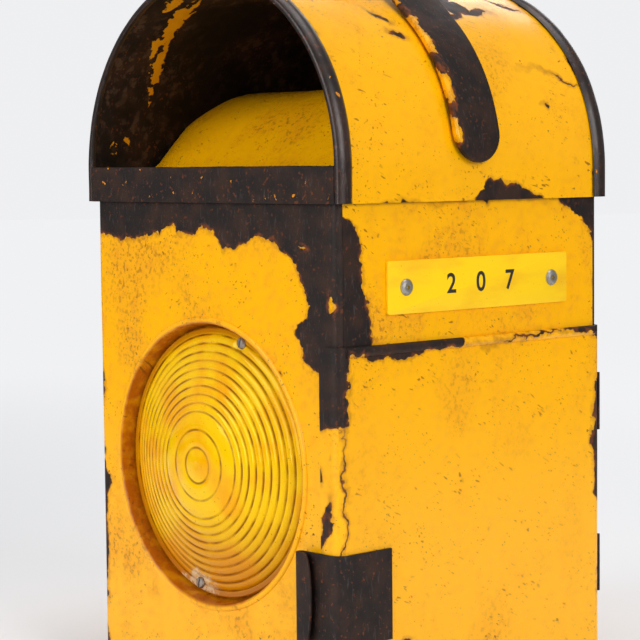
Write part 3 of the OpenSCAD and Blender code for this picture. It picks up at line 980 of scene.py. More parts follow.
@dataclass
class Case:
    """The square case: its lens face with the pressed seat, and the flat walls."""

    half: float = 92.0
    bend: float = 88.0
    corner: float = 4.0
    bottom: float = 1.2
    top: float = 263.0
    sheet: float = 1.2
    lens_x: float = -3.0
    lens_z: float = 117.0
    dish_r: float = 75.0
    seat_r: float = 68.4
    seat_in_r: float = 58.0
    seat_depth: float = 9.0
    bead_r: float = 71.5
    bead_half: float = 1.9
    bead_rise: float = 1.3
    steps: int = 128

    def dish_profile(self) -> list[Pair]:
        """Radius and forward distance of the pressed seat, from its inner edge to the flat panel.

        Returns:
            The section's points.
        """
        crest = [(self.bead_r + self.bead_half * math.cos(math.radians(a)),
                  self.bead_rise * math.sin(math.radians(a))) for a in range(180, -1, -20)]
        seat = [(self.seat_in_r, -self.seat_depth), (self.seat_r - 3.0, -self.seat_depth)]
        wall = arc((self.seat_r - 1.0, -self.seat_depth + 1.0), 1.0, -90, -8, 4)
        middle = ((self.seat_r + crest[0][0]) / 2, -self.seat_depth / 2)
        return seat + wall + [middle] + crest + [(self.dish_r, 0.0)]

    def outline(self, angle: float) -> Vector:
        """The point of the flat panel's outline in one direction from the lens centre.

        Args:
            angle: the direction, in radians.

        Returns:
            The point.
        """
        across, up = math.cos(angle), math.sin(angle)
        reach = []
        for edge in (self.bend - self.lens_x, -self.bend - self.lens_x):
            if edge * across > 0:
                reach.append(edge / across)
        for edge in (self.top - self.lens_z, self.bottom - self.lens_z):
            if edge * up > 0:
                reach.append(edge / up)
        far = min(reach)
        return point(self.lens_x + far * across, -self.half, self.lens_z + far * up)

    def corner_angles(self) -> list[float]:
        """Directions of the flat panel's four corners from the lens centre."""
        return [math.atan2(z - self.lens_z, x - self.lens_x)
                for x in (self.bend, -self.bend) for z in (self.top, self.bottom)]

    def lens_face(self) -> bpy.types.Object:
        """Builds the front panel: a spun seat, drawn out to the flat face and folded at both sides.

        Returns:
            The panel.
        """
        line = [point(self.lens_x + r, -self.half - f, self.lens_z) for r, f in self.dish_profile()]
        obj = Bench.trace("lens_face_panel", line)
        centre = point(self.lens_x, -self.half, self.lens_z)
        Bench.spin(centre, Vector((0, -1, 0)), 360, self.steps)
        bpy.ops.mesh.select_all(action="SELECT")
        bpy.ops.mesh.remove_doubles(threshold=WELD)
        Bench.pick(obj, lambda c: (c - centre).length > (self.dish_r - 0.1) * MM)
        corners = self.corner_angles()
        half_step = math.pi / self.steps
        rings = 7
        for ring in range(1, rings + 1):
            bpy.ops.mesh.extrude_region_move()
            mesh = bmesh.from_edit_mesh(obj.data)
            for vert in (v for v in mesh.verts if v.select):
                angle = math.atan2(vert.co.z - centre.z, vert.co.x - centre.x)
                near = [a for a in corners if abs(math.remainder(a - angle, math.tau)) <= half_step]
                inner = centre + point(self.dish_r * math.cos(angle), 0, self.dish_r * math.sin(angle))
                vert.co = inner.lerp(self.outline(near[0] if near else angle), ring / rings)
            bmesh.update_edit_mesh(obj.data)
        for side in (1, -1):
            edge = side * self.bend * MM
            Bench.pick(obj, lambda c: abs(c.x - edge) < WELD)
            Bench.spin(point(side * self.bend, -self.bend, 0), Vector((0, 0, side)), 90, 6)
        return Bench.sheet(obj, lambda c: Vector((0, -1, 0)), (0.5, 55), self.sheet)

    def build(self) -> None:
        """Builds and dresses the case."""
        # The ring turns the paint amber round the lens recess: grime and painted shade.
        paint = ChippedPaint(
            "front_paint", Plane.FRONT, wash=Wash.MEDIUM, ring=(self.lens_x, self.lens_z, self.bead_r),
            borders=(
                Border("up", 1, ((-94, 229), (-60, 226), (-50, 230), (-38, 232), (-28, 233), (-25, 228),
                                 (-14, 230), (-4, 232), (4, 231), (9, 224), (22, 222), (30, 226), (38, 229),
                                 (48, 225), (63, 221), (94, 208))),
                Border("across", 1, ((0, 98), (160, 97), (164, 84), (170, 74), (175, 68), (183, 70),
                                     (188, 62), (191, 72), (200, 73), (210, 68), (222, 60), (232, 54))),
                Border("across", -1, ((0, -89), (36, -88.5), (60, -88), (78, -88), (90, -89), (97, -86),
                                      (101, -84), (106, -90), (118, -94), (150, -95), (263, -96)))),
            patches=(Patch(-91.5, 151, 2.6, 7), Patch(-91.5, 117, 3.2, 3), Patch(-90, 70, 2.2, 9)),
            islands=(Patch(87.5, 201, 2.2, 4.4), Patch(69, 226, 1.0, 0.7), Patch(-72, 250, 0.9, 0.6)))
        face = self.lens_face()
        dress(face, paint.make())
        place(face, "case", "yellow_paint", "front_panel")
        side = ChippedPaint(
            "upper_side_paint", Plane.SIDE, wash=Wash.MEDIUM,
            borders=(
                Border("across", -1, ((150, -96), (176, -69), (182, -70), (188, -71), (195, -74), (208, -77),
                                      (224, -77), (233, -78), (238, -83), (243, -92), (263, -97))),
                Border("across", 1, ((150, 97), (190, 93), (203, 90), (228, 87), (235, 81), (238, 71),
                                     (246, 62), (250, 56), (263, 50)))),
            patches=(Patch(8, 247, 20, 1.2),))
        dress_nodes(side.make(), "right_side_panel")
        plain = ChippedPaint(
            "far_side_paint", Plane.SIDE, wash=Wash.HEAVY,
            chip_size=15.0, chip_level=0.70, borders=(
                Border("across", -1, ((0, -90), (60, -87), (110, -92), (160, -90), (200, -84), (235, -78),
                                      (263, -70))),
                Border("up", 1, ((-94, 232), (-62, 240), (-50, 247), (-10, 243), (5, 250), (40, 247),
                                 (70, 238), (94, 226))),
                Border("up", -1, ((-94, 25), (-60, 16), (0, 17), (30, 14), (70, 18), (94, 28)))),
            patches=(Patch(38, 124, 1.6, 14, 24), Patch(-34, 66, 9, 1.4, -14), Patch(60, 208, 1.6, 8, 30)))
        dress_nodes(plain.make(), "left_side_panel")
        rear = ChippedPaint(
            "rear_paint", Plane.FRONT, wash=Wash.HEAVY,
            chip_size=15.0, chip_level=0.70, borders=(
                Border("up", 1, ((-94, 224), (-70, 234), (-60, 242), (-20, 237), (-8, 245), (20, 243),
                                 (60, 236), (94, 222))),
                Border("across", 1, ((0, 90), (70, 86), (120, 91), (180, 86), (220, 80), (263, 74))),
                Border("across", -1, ((0, -88), (90, -92), (150, -88), (210, -84), (263, -76)))),
            patches=(Patch(-36, 152, 2, 15, 30), Patch(34, 72, 12, 1.4, -15), Patch(8, 198, 1.6, 9, -8)))
        dress_nodes(rear.make(), "back_panel")
        dress_nodes(BurntSteel("tray_steel", 0.7, 0.2, 0.055).make(), "base_pan")
        dress_nodes(BurntSteel("inner_steel", 0.6, 0.15, 0.02).make(), "flue_plate", "hood_cleats",
                    "tank_guides")


@dataclass
class Hood:
    """The vaulted canopy with its rolled rims, header, rear plate and deflector."""

    springing: float = 263.0
    skirt: float = 246.3
    radius: float = 95.2
    half_length: float = 93.2
    sheet: float = 1.2
    rim_crest: float = 97.4
    rim_width: float = 9.6
    deflector_top: float = 304.0
    deflector_half: float = 90.4
    deflector_slope: float = 46.0
    deflector_r: float = 70.0
    deflector_foot: float = 260.4
    header_half: float = 92.6
    header_height: float = 17.9

    def outward(self, spot: Vector) -> Vector:
        """Direction from the canopy's axis at a point, level below the springing."""
        return Vector((spot.x, 0, max(spot.z - self.springing * MM, 0.0)))

    def canopy(self) -> bpy.types.Object:
        """Builds the canopy sheet and gives its lining a second material.

        Returns:
            The canopy.
        """
        over = arc((0, self.springing), self.radius, 0, 180, 96)
        line = [(self.radius, self.skirt), (self.radius, self.skirt + 8)] + over
        line += [(-self.radius, self.skirt + 8), (-self.radius, self.skirt)]
        obj = Bench.trace("canopy_sheet", [point(x, -self.half_length, z) for x, z in line])
        Bench.extrude(point(0, 2 * self.half_length, 0), 40)
        Bench.sheet(obj, self.outward, (1.3, 42), self.sheet)
        paint = ChippedPaint(
            "canopy_paint", Plane.VAULT, wash=Wash.LIGHT, chip_size=11.0, chip_level=0.76,
            borders=(
                Border("up", -1, ((-95, -19), (2, -18), (4, -6), (14, -7), (18, -10), (24, -9), (31, -12),
                                  (42, -13), (52, -16), (56, -18), (95, -19))),
                Border("across", -1, ((-20, -86), (80, -87), (150, -84), (210, -87), (320, -85))),
                Border("across", 1, ((-20, 90), (60, 88), (110, 84), (160, 87), (230, 84), (320, 88)))),
            patches=(Patch(28, 98, 11, 9), Patch(42, 91, 12, 3.4, 8), Patch(24, 86, 9, 3, 30),
                     Patch(30, 118, 16, 12, 25), Patch(71, 102, 9, 1.8, -40), Patch(-34, 85, 4.5, 1.6, -60),
                     Patch(-32, 71, 4.0, 1.7, -35), Patch(76, 47, 8, 0.5, -12), Patch(56, 31, 1.5, 1.2),
                     Patch(-22, 150, 9, 2.2, 40), Patch(32, 176, 13, 4, -20), Patch(-52, 205, 2, 12, 14),
                     Patch(18, 284, 26, 3.5, 5), Patch(-60, 120, 2, 7, 20), Patch(64, 236, 8, 1.6, 30)))
        lining = SootedLining("hood_lining", (
            Patch(-66, 212, 7, 24, 8), Patch(-62, 240, 4.5, 20, -4), Patch(-60, 256, 2.2, 9),
            Patch(-78, 291, 2.4, 3.4), Patch(-70, 286, 1.8, 1.6), Patch(-78, 196, 5, 9)))
        obj.data.materials.append(paint.make())
        obj.data.materials.append(lining.make())
        for face in obj.data.polygons:
            face.material_index = 1 if face.normal.dot(self.outward(face.center)) < 0 else 0
        return obj

    def rim_outline(self, lip: bool) -> list[Pair]:
        """Radius and distance from the hood's middle of the rolled rim's closed section.

        Args:
            lip: True adds the front rim's inner lip.

        Returns:
            The section's points.
        """
        rise = self.rim_crest - self.radius
        bow = ((self.rim_width / 2) ** 2 + rise ** 2) / (2 * rise)
        outer = self.half_length + self.sheet
        middle = outer - self.rim_width / 2
        spread = math.degrees(math.asin(self.rim_width / 2 / bow))
        bead = arc((self.rim_crest - bow, middle), bow, spread, -spread, 12)
        inner = self.radius - 2 * self.sheet
        back = self.half_length - (2.0 if lip else 0.0)
        seat_r, seat_at = inner + self.sheet - 0.02, self.half_length + 0.02
        seat = [(self.radius + 0.1, seat_at), (seat_r, seat_at)]
        if lip:
            seat.append((seat_r, back))
        return [(inner, back), (inner, outer - 0.3), (inner + 0.3, outer)] + bead + seat

    def rim(self, name: str, front: bool) -> bpy.types.Object:
        """Builds one rolled rim, swept up one skirt, over the canopy and down the other.

        Args:
            name: the piece's name.
            front: True for the front rim.

        Returns:
            The rim.
        """
        side = -1 if front else 1
        line = [point(r, side * t, self.skirt) for r, t in self.rim_outline(front)]
        obj = Bench.trace(name, line, closed=True)
        drop = point(0, 0, self.springing - self.skirt)
        Bench.extrude(drop, 4)
        Bench.spin(point(0, 0, self.springing), Vector((0, -1, 0)), 180, 110)
        Bench.extrude(-drop, 4)
        Bench.cap_ends()
        Bench.tidy(obj)
        Bench.dent(obj, 0.35, 16)
        Bench.smooth(obj, 50)
        return obj

    def header(self) -> bpy.types.Object:
        """Builds the strip over the lens face, with its top folded back.

        Returns:
            The strip.
        """
        front = self.half_length + self.sheet
        top = self.skirt + self.header_height
        fold = arc((-front + 1.2, top - 1.2), 1.2, 180, 90, 5)
        line = [(-front, self.skirt)] + [(-front, self.skirt + 4 * i) for i in (1, 2, 3, 4)] + fold
        line += [(-92.0, top), (-90.8, top)]
        obj = Bench.trace("header_strip", [point(-self.header_half, y, z) for y, z in line])
        Bench.extrude(point(2 * self.header_half, 0, 0), 60)
        return Bench.sheet(obj, lambda c: Vector((0, -1, 0.5)), (0.5, 22), self.sheet, 50)

    def deflector_profile(self) -> list[Pair]:
        """Depth and height of the deflector's upper face, from its foot to its rear edge.

        Returns:
            The section's points.
        """
        slope, radius, foot = self.deflector_slope, self.deflector_r, self.deflector_foot
        crown = arc((13.0, self.deflector_top - radius), radius, 90 + slope, 90, 16)
        start = crown[0][0] - (crown[0][1] - foot) / math.tan(math.radians(slope))
        rise = [(start + (crown[0][0] - start) * t, foot + (crown[0][1] - foot) * t)
                for t in (0.08, 0.35, 0.7)]
        flat = [(13 + (62 - 13) * t, self.deflector_top) for t in (0.25, 0.5, 0.75, 1.0)]
        return [(start - 14, foot), (start - 7, foot), (start - 1.5, foot + 0.1)] + rise + crown + flat

    def deflector(self) -> bpy.types.Object:
        """Builds the curved deflector, trimmed to the canopy's inside.

        Returns:
            The deflector.
        """
        reach = self.radius - self.sheet - 0.5
        line = [point(-self.deflector_half, y, z) for y, z in self.deflector_profile()]
        obj = Bench.trace("deflector_sheet", line)
        Bench.extrude(point(2 * self.deflector_half, 0, 0), 60)
        mesh = bmesh.from_edit_mesh(obj.data)
        for vert in mesh.verts:
            over = max(vert.co.z / MM - self.springing, 0.0)
            room = math.sqrt(max(reach ** 2 - over ** 2, 0.0))
            vert.co.x *= min(1.0, room / self.deflector_half)
            edge = abs(vert.co.x) / MM / min(self.deflector_half, room)
            if over > 0 and edge > 0.93:
                vert.co.z -= 2.0 * MM * (edge - 0.93) / 0.07
        bmesh.update_edit_mesh(obj.data)
        return Bench.sheet(obj, lambda c: Vector((0, -0.5, 1)), (0.9, 36), self.sheet)

    def build(self) -> None:
        """Builds and dresses the hood."""
        canopy = self.canopy()
        place(canopy, "case", "yellow_paint", "hood_canopy")
        rim_steel = BurntSteel("rim_steel", 0.5, 0.45, 0.015, 0.22).make()
        for name, front, node in (("front_rim", True, "hood_front_rim"),
                                  ("rear_rim", False, "hood_rear_rim")):
            rim = self.rim(name, front)
            dress(rim, rim_steel)
            place(rim, "case", "bare_steel", node)
        header = self.header()
        dress(header, BurntSteel("header_steel", 0.6, 0.3, 0.045).make())
        place(header, "case", "bare_steel", "hood_header")
        deflector = self.deflector()
        dress(deflector, ChippedPaint("deflector_paint", Plane.FRONT, chip_level=0.85).make())
        place(deflector, "case", "yellow_paint", "roof_deflector")
        dress_nodes(ChippedPaint("rear_plate_paint", Plane.FRONT, wash=Wash.HEAVY, borders=(
            Border("up", 1, ((-96, 268), (-70, 282), (-40, 318), (0, 330), (30, 322), (64, 296),
                             (96, 262))),),
            patches=(Patch(22, 284, 11, 1.8, 20),)).make(), "hood_rear_plate")


@dataclass
class Handle:
    """The strap handle: a pressed channel that lies on the canopy and rises to a crown."""

    springing: float = 263.0
    under_r: float = 95.25
    width: float = 30.4
    depth: float = 4.5
    sheet: float = 1.2
    middle_y: float = -3.2
    end_angle: float = 10.0
    lift_angle: float = 46.0
    crown_r: float = 44.0
    end_points: int = 62
    cut_step: float = 3.2

    def lengths(self) -> Triple:
        """Lengths of the lying arc, the straight and half of the crown, along the underside.

        Returns:
            The three lengths.
        """
        lying = self.under_r * math.radians(self.lift_angle - self.end_angle)
        straight = (self.under_r - self.crown_r) / math.tan(math.radians(self.lift_angle))
        return lying, straight, self.crown_r * math.radians(90 - self.lift_angle)

    def spot(self, along: float, height: float) -> Pair:
        """Where a point of the flat strap goes: across and up, for a distance along it from the top.

        Args:
            along: distance along the strap from its top.
            height: height over its underside.

        Returns:
            Across and up.
        """
        lying, straight, crown = self.lengths()
        side, rest = (1 if along >= 0 else -1), abs(along)
        turn = math.radians(self.lift_angle)
        crown_z = self.springing + (self.under_r - self.crown_r) * math.sin(turn) + straight * math.cos(turn)
        if rest <= crown:
            angle = math.pi / 2 - rest / self.crown_r
            x = (self.crown_r + height) * math.cos(angle)
            z = crown_z + (self.crown_r + height) * math.sin(angle)
        elif rest <= crown + straight:
            run = crown + straight - rest
            x = (self.under_r + height) * math.cos(turn) - run * math.sin(turn)
            z = self.springing + (self.under_r + height) * math.sin(turn) + run * math.cos(turn)
        else:
            angle = turn - (rest - crown - straight) / self.under_r
            x = (self.under_r + height) * math.cos(angle)
            z = self.springing + (self.under_r + height) * math.sin(angle)
        return side * x, z

    def build(self) -> None:
        """Builds the flat channel, bends it to the handle's line and dresses it."""
        radius = self.width / 2
        reach = sum(self.lengths())
        Bench.clear()
        bpy.ops.mesh.primitive_circle_add(
            vertices=self.end_points, radius=radius * MM, fill_type="NGON",
            location=(0, 0, self.depth * MM), rotation=(0, 0, math.pi / self.end_points))
        obj = bpy.context.active_object
        obj.name = "strap_handle"
        bpy.ops.object.transform_apply(location=True, rotation=True, scale=True)
        Bench.edit(obj)
        for side in (1, -1):
            Bench.pick(obj, lambda c: c.x * side > 0)
            bpy.ops.transform.translate(value=(side * reach * MM, 0, 0))
        bpy.ops.mesh.select_all(action="DESELECT")
        bpy.ops.mesh.select_non_manifold(extend=False)
        bpy.ops.mesh.extrude_region_move(TRANSFORM_OT_translate={"value": (0, 0, -(self.depth - 0.15) * MM)})
        Bench.tidy(obj, lambda c: Vector((0, 0, 1)) if c.z > self.depth * MM * 0.9 else Vector((0, 0, 0)))
        Bench.round_edges(obj, 1.3, 3, 60)
        Bench.thicken(obj, self.sheet)
        Bench.edit(obj)
        cuts = int(2 * (reach + radius) / self.cut_step)
        for index in range(1, cuts):
            across = MM * (reach + radius) * (2 * index / cuts - 1)
            bpy.ops.mesh.select_all(action="SELECT")
            bpy.ops.mesh.bisect(plane_co=(across, 0, 0), plane_no=(1, 0, 0))
        bpy.ops.mesh.select_all(action="SELECT")
        bpy.ops.mesh.normals_make_consistent(inside=False)
        Bench.leave()
        for vert in obj.data.vertices:
            x, z = self.spot(vert.co.x / MM, vert.co.z / MM)
            vert.co = point(x, self.middle_y + vert.co.y / MM, z)
        Bench.dent(obj, 0.25, 20)
        Bench.smooth(obj, 40)
        dress(obj, ChippedPaint("strap_paint", Plane.SIDE, wash=Wash.MEDIUM, borders=(
            Border("across", 1, ((200, -16.4), (285, -16.9), (400, -16.6))),),
            patches=tuple(Patch(-18.0, z, 2.4, 4.5) for z in (272, 292, 312, 338, 352))).make())
        place(obj, "case", "bare_steel", "carry_handle")


@dataclass
class Plate:
    """The riveted plate on the door side, with generic numerals."""

    face: float = 92.0
    thickness: float = 1.6
    y_range: Pair = (-61.0, 66.0)
    z_range: Pair = (193.6, 219.0)
    numerals: str = "2 0 7"
    numeral_size: float = 13.5
    numeral_gap: float = 1.75

    def build(self) -> None:
        """Builds the plate and its inlaid numerals."""
        size = point(self.thickness, self.y_range[1] - self.y_range[0], self.z_range[1] - self.z_range[0])
        centre = point(self.face + self.thickness / 2, sum(self.y_range) / 2, sum(self.z_range) / 2)
        Bench.clear()
        bpy.ops.mesh.primitive_cube_add(size=1, location=centre, scale=size)
        obj = bpy.context.active_object
        obj.name = "number_plate_body"
        bpy.ops.object.transform_apply(location=True, rotation=True, scale=True)
        Bench.edit(obj)
        mesh = bmesh.from_edit_mesh(obj.data)
        for edge in mesh.edges:
            edge.select = abs((edge.verts[0].co - edge.verts[1].co).normalized().x) > 0.9
        bmesh.update_edit_mesh(obj.data)
        bpy.ops.mesh.bevel(offset=1.2 * MM, segments=4, affect="EDGES")
        Bench.leave()
        Bench.round_edges(obj, 0.25, 2, 60)
        Bench.smooth(obj)
        dress(obj, Laminate("plate_laminate").make())
        place(obj, "case", "plate_yellow", "name_plate")
        numerals = self.inlay(centre)
        dress(numerals, Metal("inlay_black", (0.012, 0.011, 0.01), metallic=0.0, roughness=0.5,
                              stained=0.1).make())
        place(numerals, "case", "plate_yellow")
        dress_nodes(Metal("rivet_alloy", (0.42, 0.40, 0.37), roughness=0.42, stained=0.45).make(),
                    "name_plate_rivets")

    def inlay(self, centre: Vector) -> bpy.types.Object:
        """Builds the numerals as thin black inlays in the plate's face.

        Args:
            centre: the plate's centre.

        Returns:
            The numerals.
        """
        Bench.clear()
        bpy.ops.object.text_add(location=(0, 0, 0))
        obj = bpy.context.active_object
        obj.name = "plate_numerals"
        obj.data.body = self.numerals
        obj.data.size = self.numeral_size * MM
        obj.data.align_x = "CENTER"
        obj.data.align_y = "CENTER"
        obj.data.extrude = 0.06 * MM
        obj.data.offset = 0.22 * MM
        obj.data.space_character = self.numeral_gap
        bpy.ops.object.convert(target="MESH")
        obj.rotation_euler = Euler((math.pi / 2, 0, math.pi / 2))
        obj.location = Vector(((self.face + self.thickness) * MM, centre.y, centre.z))
        bpy.ops.object.transform_apply(location=True, rotation=True, scale=True)
        return obj


@dataclass
class Lens:
    """The domed, ribbed amber lens."""

    x: float = -3.0
    z: float = 117.0
    face: float = -92.0
    rise: float = 8.0
    drop: float = 6.0
    radius: float = 67.4
    dome_r: float = 64.0
    flange_back: float = -8.2
    flange_front: float = -6.0
    wall: float = 3.9
    pitch: float = 4.2
    plain_rings: tuple[float, ...] = (8.9, 17.6, 26.6)
    screw_r: float = 63.9
    screw_angles: Pair = (72.0, -103.0)
    pocket_r: float = 3.4

    def dome(self, r: float) -> float:
        """Height of the dome over the case front at a radius."""
        return self.rise - (self.rise + self.drop) * (r / self.dome_r) ** 2

    def steps(self) -> list[Pair]:
        """First and last radius of each rounded rib, from the middle out.

        Returns:
            The pairs of radii.
        """
        rings = [0.0, *self.plain_rings]
        count = round((self.dome_r - rings[-1]) / self.pitch)
        rings += [rings[-1] + (self.dome_r - rings[-1]) * (i + 1) / count for i in range(count)]
        return list(zip(rings, rings[1:]))

    def profile(self) -> list[Pair]:
        """Radius and forward distance round the lens's section, from the middle of the front.

        Returns:
            The section's points.
        """
        line = [(0.0, self.dome(0.0) - 0.25)]
        for first, last in self.steps():
            depth = 1.0 if last - first < 5 else 0.6
            for i in range(1, 7):
                t = i / 6
                round_rib = 1 - math.sqrt(max(1 - (2 * t - 1) ** 2 * 0.96, 0.0))
                sag = depth * round_rib if first > 0 else depth * t * t
                r = first + (last - first) * t
                line.append((r, self.dome(r) - sag))
        line += [(self.dome_r + 0.4, self.flange_front), (self.radius - 0.6, self.flange_front),
                 (self.radius, self.flange_front - 0.6), (self.radius, self.flange_back)]
        line += [(56.0, self.flange_back)]
        line += [(r, self.dome(r) - self.wall) for r in range(55, 0, -5)]
        return line + [(0.0, self.dome(0.0) - self.wall)]

    def screws(self) -> list[Pair]:
        """Across and up from the lens centre, for each screw."""
        turns = [math.radians(a) for a in self.screw_angles]
        return [(self.screw_r * math.cos(a), self.screw_r * math.sin(a)) for a in turns]

    def press_pockets(self, obj: bpy.types.Object) -> None:
        """Flattens the dome's edge round each screw down to the flange.

        Args:
            obj: the lens in edit mode.
        """
        floor = (self.face - self.flange_front) * MM
        for across, up in self.screws():
            for vert in bmesh.from_edit_mesh(obj.data).verts:
                away = math.hypot(vert.co.x / MM - self.x - across, vert.co.z / MM - self.z - up)
                if away < self.pocket_r + 1.2 and vert.co.y < floor:
                    share = min(max(away - self.pocket_r, 0.0) / 1.2, 1.0)
                    vert.co.y = floor + (vert.co.y - floor) * share
        bmesh.update_edit_mesh(obj.data)

    def build(self) -> None:
        """Builds and dresses the lens, its gasket and its screws."""
        line = [point(self.x + r, self.face - f, self.z) for r, f in self.profile()]
        obj = Bench.trace("ribbed_lens", line)
        Bench.spin(point(self.x, self.face, self.z), Vector((0, -1, 0)), 360, 256)
        self.press_pockets(obj)
        Bench.tidy(obj)
        Bench.smooth(obj, 30)
        grooves = tuple(last for _, last in self.steps())
        amber = AmberLens("amber_plastic", (self.x, self.z), grooves, self.dome_r, self.screws()[1])
        dress(obj, amber.make())
        place(obj, "case", "lens_amber", "lens")
        rubber = Metal("gasket_rubber", (0.02, 0.02, 0.02), metallic=0.0, roughness=0.8)
        dress_nodes(rubber.make(), "lens_gasket")
        dress_nodes(Metal("screw_steel", (0.40, 0.37, 0.33), RUST, roughness=0.4, stained=0.8).make(),
                    "lens_screws", "lens_nuts")


@dataclass
class Door:
    """The hinged door: a sheet folded round both edges of the case, with a rolled top hem."""

    bend: float = 88.0
    outer_r: float = 5.8
    outer_x: float = 93.8
    flange_x: float = 80.8
    bottom: float = 13.0
    top: float = 180.0
    sheet: float = 1.2
    corner_r: float = 5.0
    corner_band: float = 7.0
    hem_height: float = 5.0
    hem_rise: float = 1.6

    def skin(self) -> bpy.types.Object:
        """Builds the folded skin, with the flanges' top corners rounded.

        Returns:
            The skin.
        """
        face = self.bend + self.outer_r
        flange = [self.flange_x + step for step in (0, 0.6, 1.8, 3.2, self.corner_r)]
        front = [(x, -face) for x in flange] + arc((self.bend, -self.bend), self.outer_r, -90, 0, 6)
        middle = [(self.outer_x, -self.bend + 2 * self.bend * i / 24) for i in range(1, 24)]
        line = front + middle + [(x, -y) for x, y in reversed(front)]
        obj = Bench.trace("door_sheet", [point(x, y, self.bottom) for x, y in line])
        Bench.extrude(point(0, 0, self.top - self.corner_band - self.bottom), 20)
        Bench.extrude(point(0, 0, self.corner_band))
        mesh = bmesh.from_edit_mesh(obj.data)
        for vert in (v for v in mesh.verts if v.co.z > (self.top - 1) * MM):
            past = self.corner_r - (vert.co.x / MM - self.flange_x)
            if abs(vert.co.y) > (face - 0.1) * MM and past > 0:
                vert.co.z -= (self.corner_r - math.sqrt(max(self.corner_r ** 2 - past ** 2, 0.0))) * MM
        bmesh.update_edit_mesh(obj.data)
        return Bench.sheet(obj, lambda c: Vector((c.x, c.y, 0)) if c.x > 0.092 else Vector((0, c.y, 0)),
                           (0.5, 60), self.sheet)

    def hem(self) -> bpy.types.Object:
        """Builds the rolled hem along the door's top.

        Returns:
            The hem.
        """
        half = self.hem_height / 2
        bow = (half ** 2 + self.hem_rise ** 2) / (2 * self.hem_rise)
        spread = math.degrees(math.asin(half / bow))
        line = arc((self.outer_x + self.hem_rise - bow, self.top - half), bow, -spread, spread, 8)
        line = [(self.outer_x - 0.4, line[0][1])] + line + [(self.outer_x - 0.4, line[-1][1])]
        obj = Bench.trace("door_hem", [point(x, -self.bend, z) for x, z in line], closed=True)
        Bench.extrude(point(0, 2 * self.bend, 0), 40)
        Bench.cap_ends()
        Bench.tidy(obj)
        Bench.dent(obj, 0.25, 18)
        Bench.smooth(obj)
        return obj

    def build(self) -> None:
        """Builds and dresses the door."""
        door = Bench.join(self.skin(), self.hem())
        side = ChippedPaint(
            "door_paint", Plane.SIDE, wash=Wash.LIGHT,
            borders=(
                Border("up", 1, ((-96, 172), (-91, 175.0), (-70, 175.2), (-12, 174.6), (-9, 183), (60, 183),
                                 (78, 178), (96, 176))),
                Border("across", -1, ((0, -97), (84, -98), (116, -97), (138, -96), (142, -91), (146, -88),
                                      (155, -87), (165, -85), (178, -84))),
                Border("across", 1, ((13, 91), (33, 92.5), (48, 90), (62, 92), (88, 93.5), (92, 88),
                                     (120, 86.5), (147, 89), (151, 95), (180, 95)))),
            patches=(Patch(-52, 30, 9, 5, 20), Patch(-40, 20, 14, 3, -10), Patch(40, 177.5, 22, 0.7),
                     Patch(76, 178, 12, 1.6), Patch(-89.5, 108, 0.5, 34)))
        front = ChippedPaint(
            "door_flange_paint", Plane.FRONT, wash=Wash.MEDIUM,
            borders=(Border("up", 1, ((78, 141), (83, 141), (88, 142), (95, 142))),),
            patches=(Patch(80, 120, 1.8, 3.5), Patch(83.5, 96, 3.2, 13, -14), Patch(80.5, 60, 1.2, 6)))
        door.data.materials.append(side.make())
        door.data.materials.append(front.make())
        limit = -(self.bend + self.outer_r * 0.72) * MM
        for polygon in door.data.polygons:
            polygon.material_index = 1 if polygon.center.y < limit else 0
        place(door, "door", "yellow_paint", "door_skin")
        steel = BurntSteel("hinge_steel", 0.6, 0.25, 0.06).make()
        dress_nodes(steel, "hinge_moving_leaves", "hinge_fixed_leaves")
        dress_nodes(Metal("pin_steel", (0.30, 0.28, 0.26), RUST, stained=0.8).make(), "hinge_pins")


@dataclass
class Clasp:
    """The spring clasp: a plate on the door, and a tongue round its front corner with a folded lip."""

    bend: float = 88.0
    mid_r: float = 6.7
    tongue_x: float = 70.0
    lip_x: float = 79.0
    fold_r: float = 1.8
    bottom: float = 40.0
    top: float = 83.5
    sheet: float = 1.2
    lip_taper: float = 4.0

    def build(self) -> None:
        """Builds and dresses the clasp."""
        face = -(self.bend + self.mid_r)
        round_corner = arc((self.bend, -self.bend), self.mid_r, 0, -90, 10)
        flat = [(self.bend - (self.bend - self.tongue_x) * t, face) for t in (0.33, 0.66)]
        fold = arc((self.tongue_x, face - self.fold_r), self.fold_r, 90, 270, 8)
        lip = [(self.tongue_x + (self.lip_x - self.tongue_x) * t, face - 2 * self.fold_r)
               for t in (0.35, 0.7, 1.0)]
        line = round_corner + flat + fold + lip
        obj = Bench.trace("clasp_spring", [point(x, y, self.bottom) for x, y in line])
        Bench.extrude(point(0, 0, self.top - self.bottom), 22)
        mesh = bmesh.from_edit_mesh(obj.data)
        for vert in mesh.verts:
            if vert.co.y < (face - 1.9 * self.fold_r) * MM and vert.co.x > (self.tongue_x + 1) * MM:
                level = (vert.co.z / MM - self.bottom) / (self.top - self.bottom)
                bow = math.sin(math.pi * min(max(level, 0.0), 1.0)) ** 0.5
                share = (vert.co.x / MM - self.tongue_x) / (self.lip_x - self.tongue_x)
                vert.co.x -= (1 - bow) * self.lip_taper * share * MM
        bmesh.update_edit_mesh(obj.data)
        Bench.tidy(obj, lambda c: Vector((1, -1, 0)) if c.y > face * MM - 0.0005 else Vector((0, 0, 0)))
        Bench.modify(obj, "SOLIDIFY", thickness=self.sheet * MM, offset=0.0)
        Bench.round_edges(obj, 0.25, 2, 60)
        Bench.smooth(obj)
        steel = BurntSteel("clasp_steel", 0.65, 0.3, 0.0).make()
        dress(obj, steel)
        place(obj, "clasp", "bare_steel", "clasp_tongue")
        dress_nodes(steel, "clasp_plate")


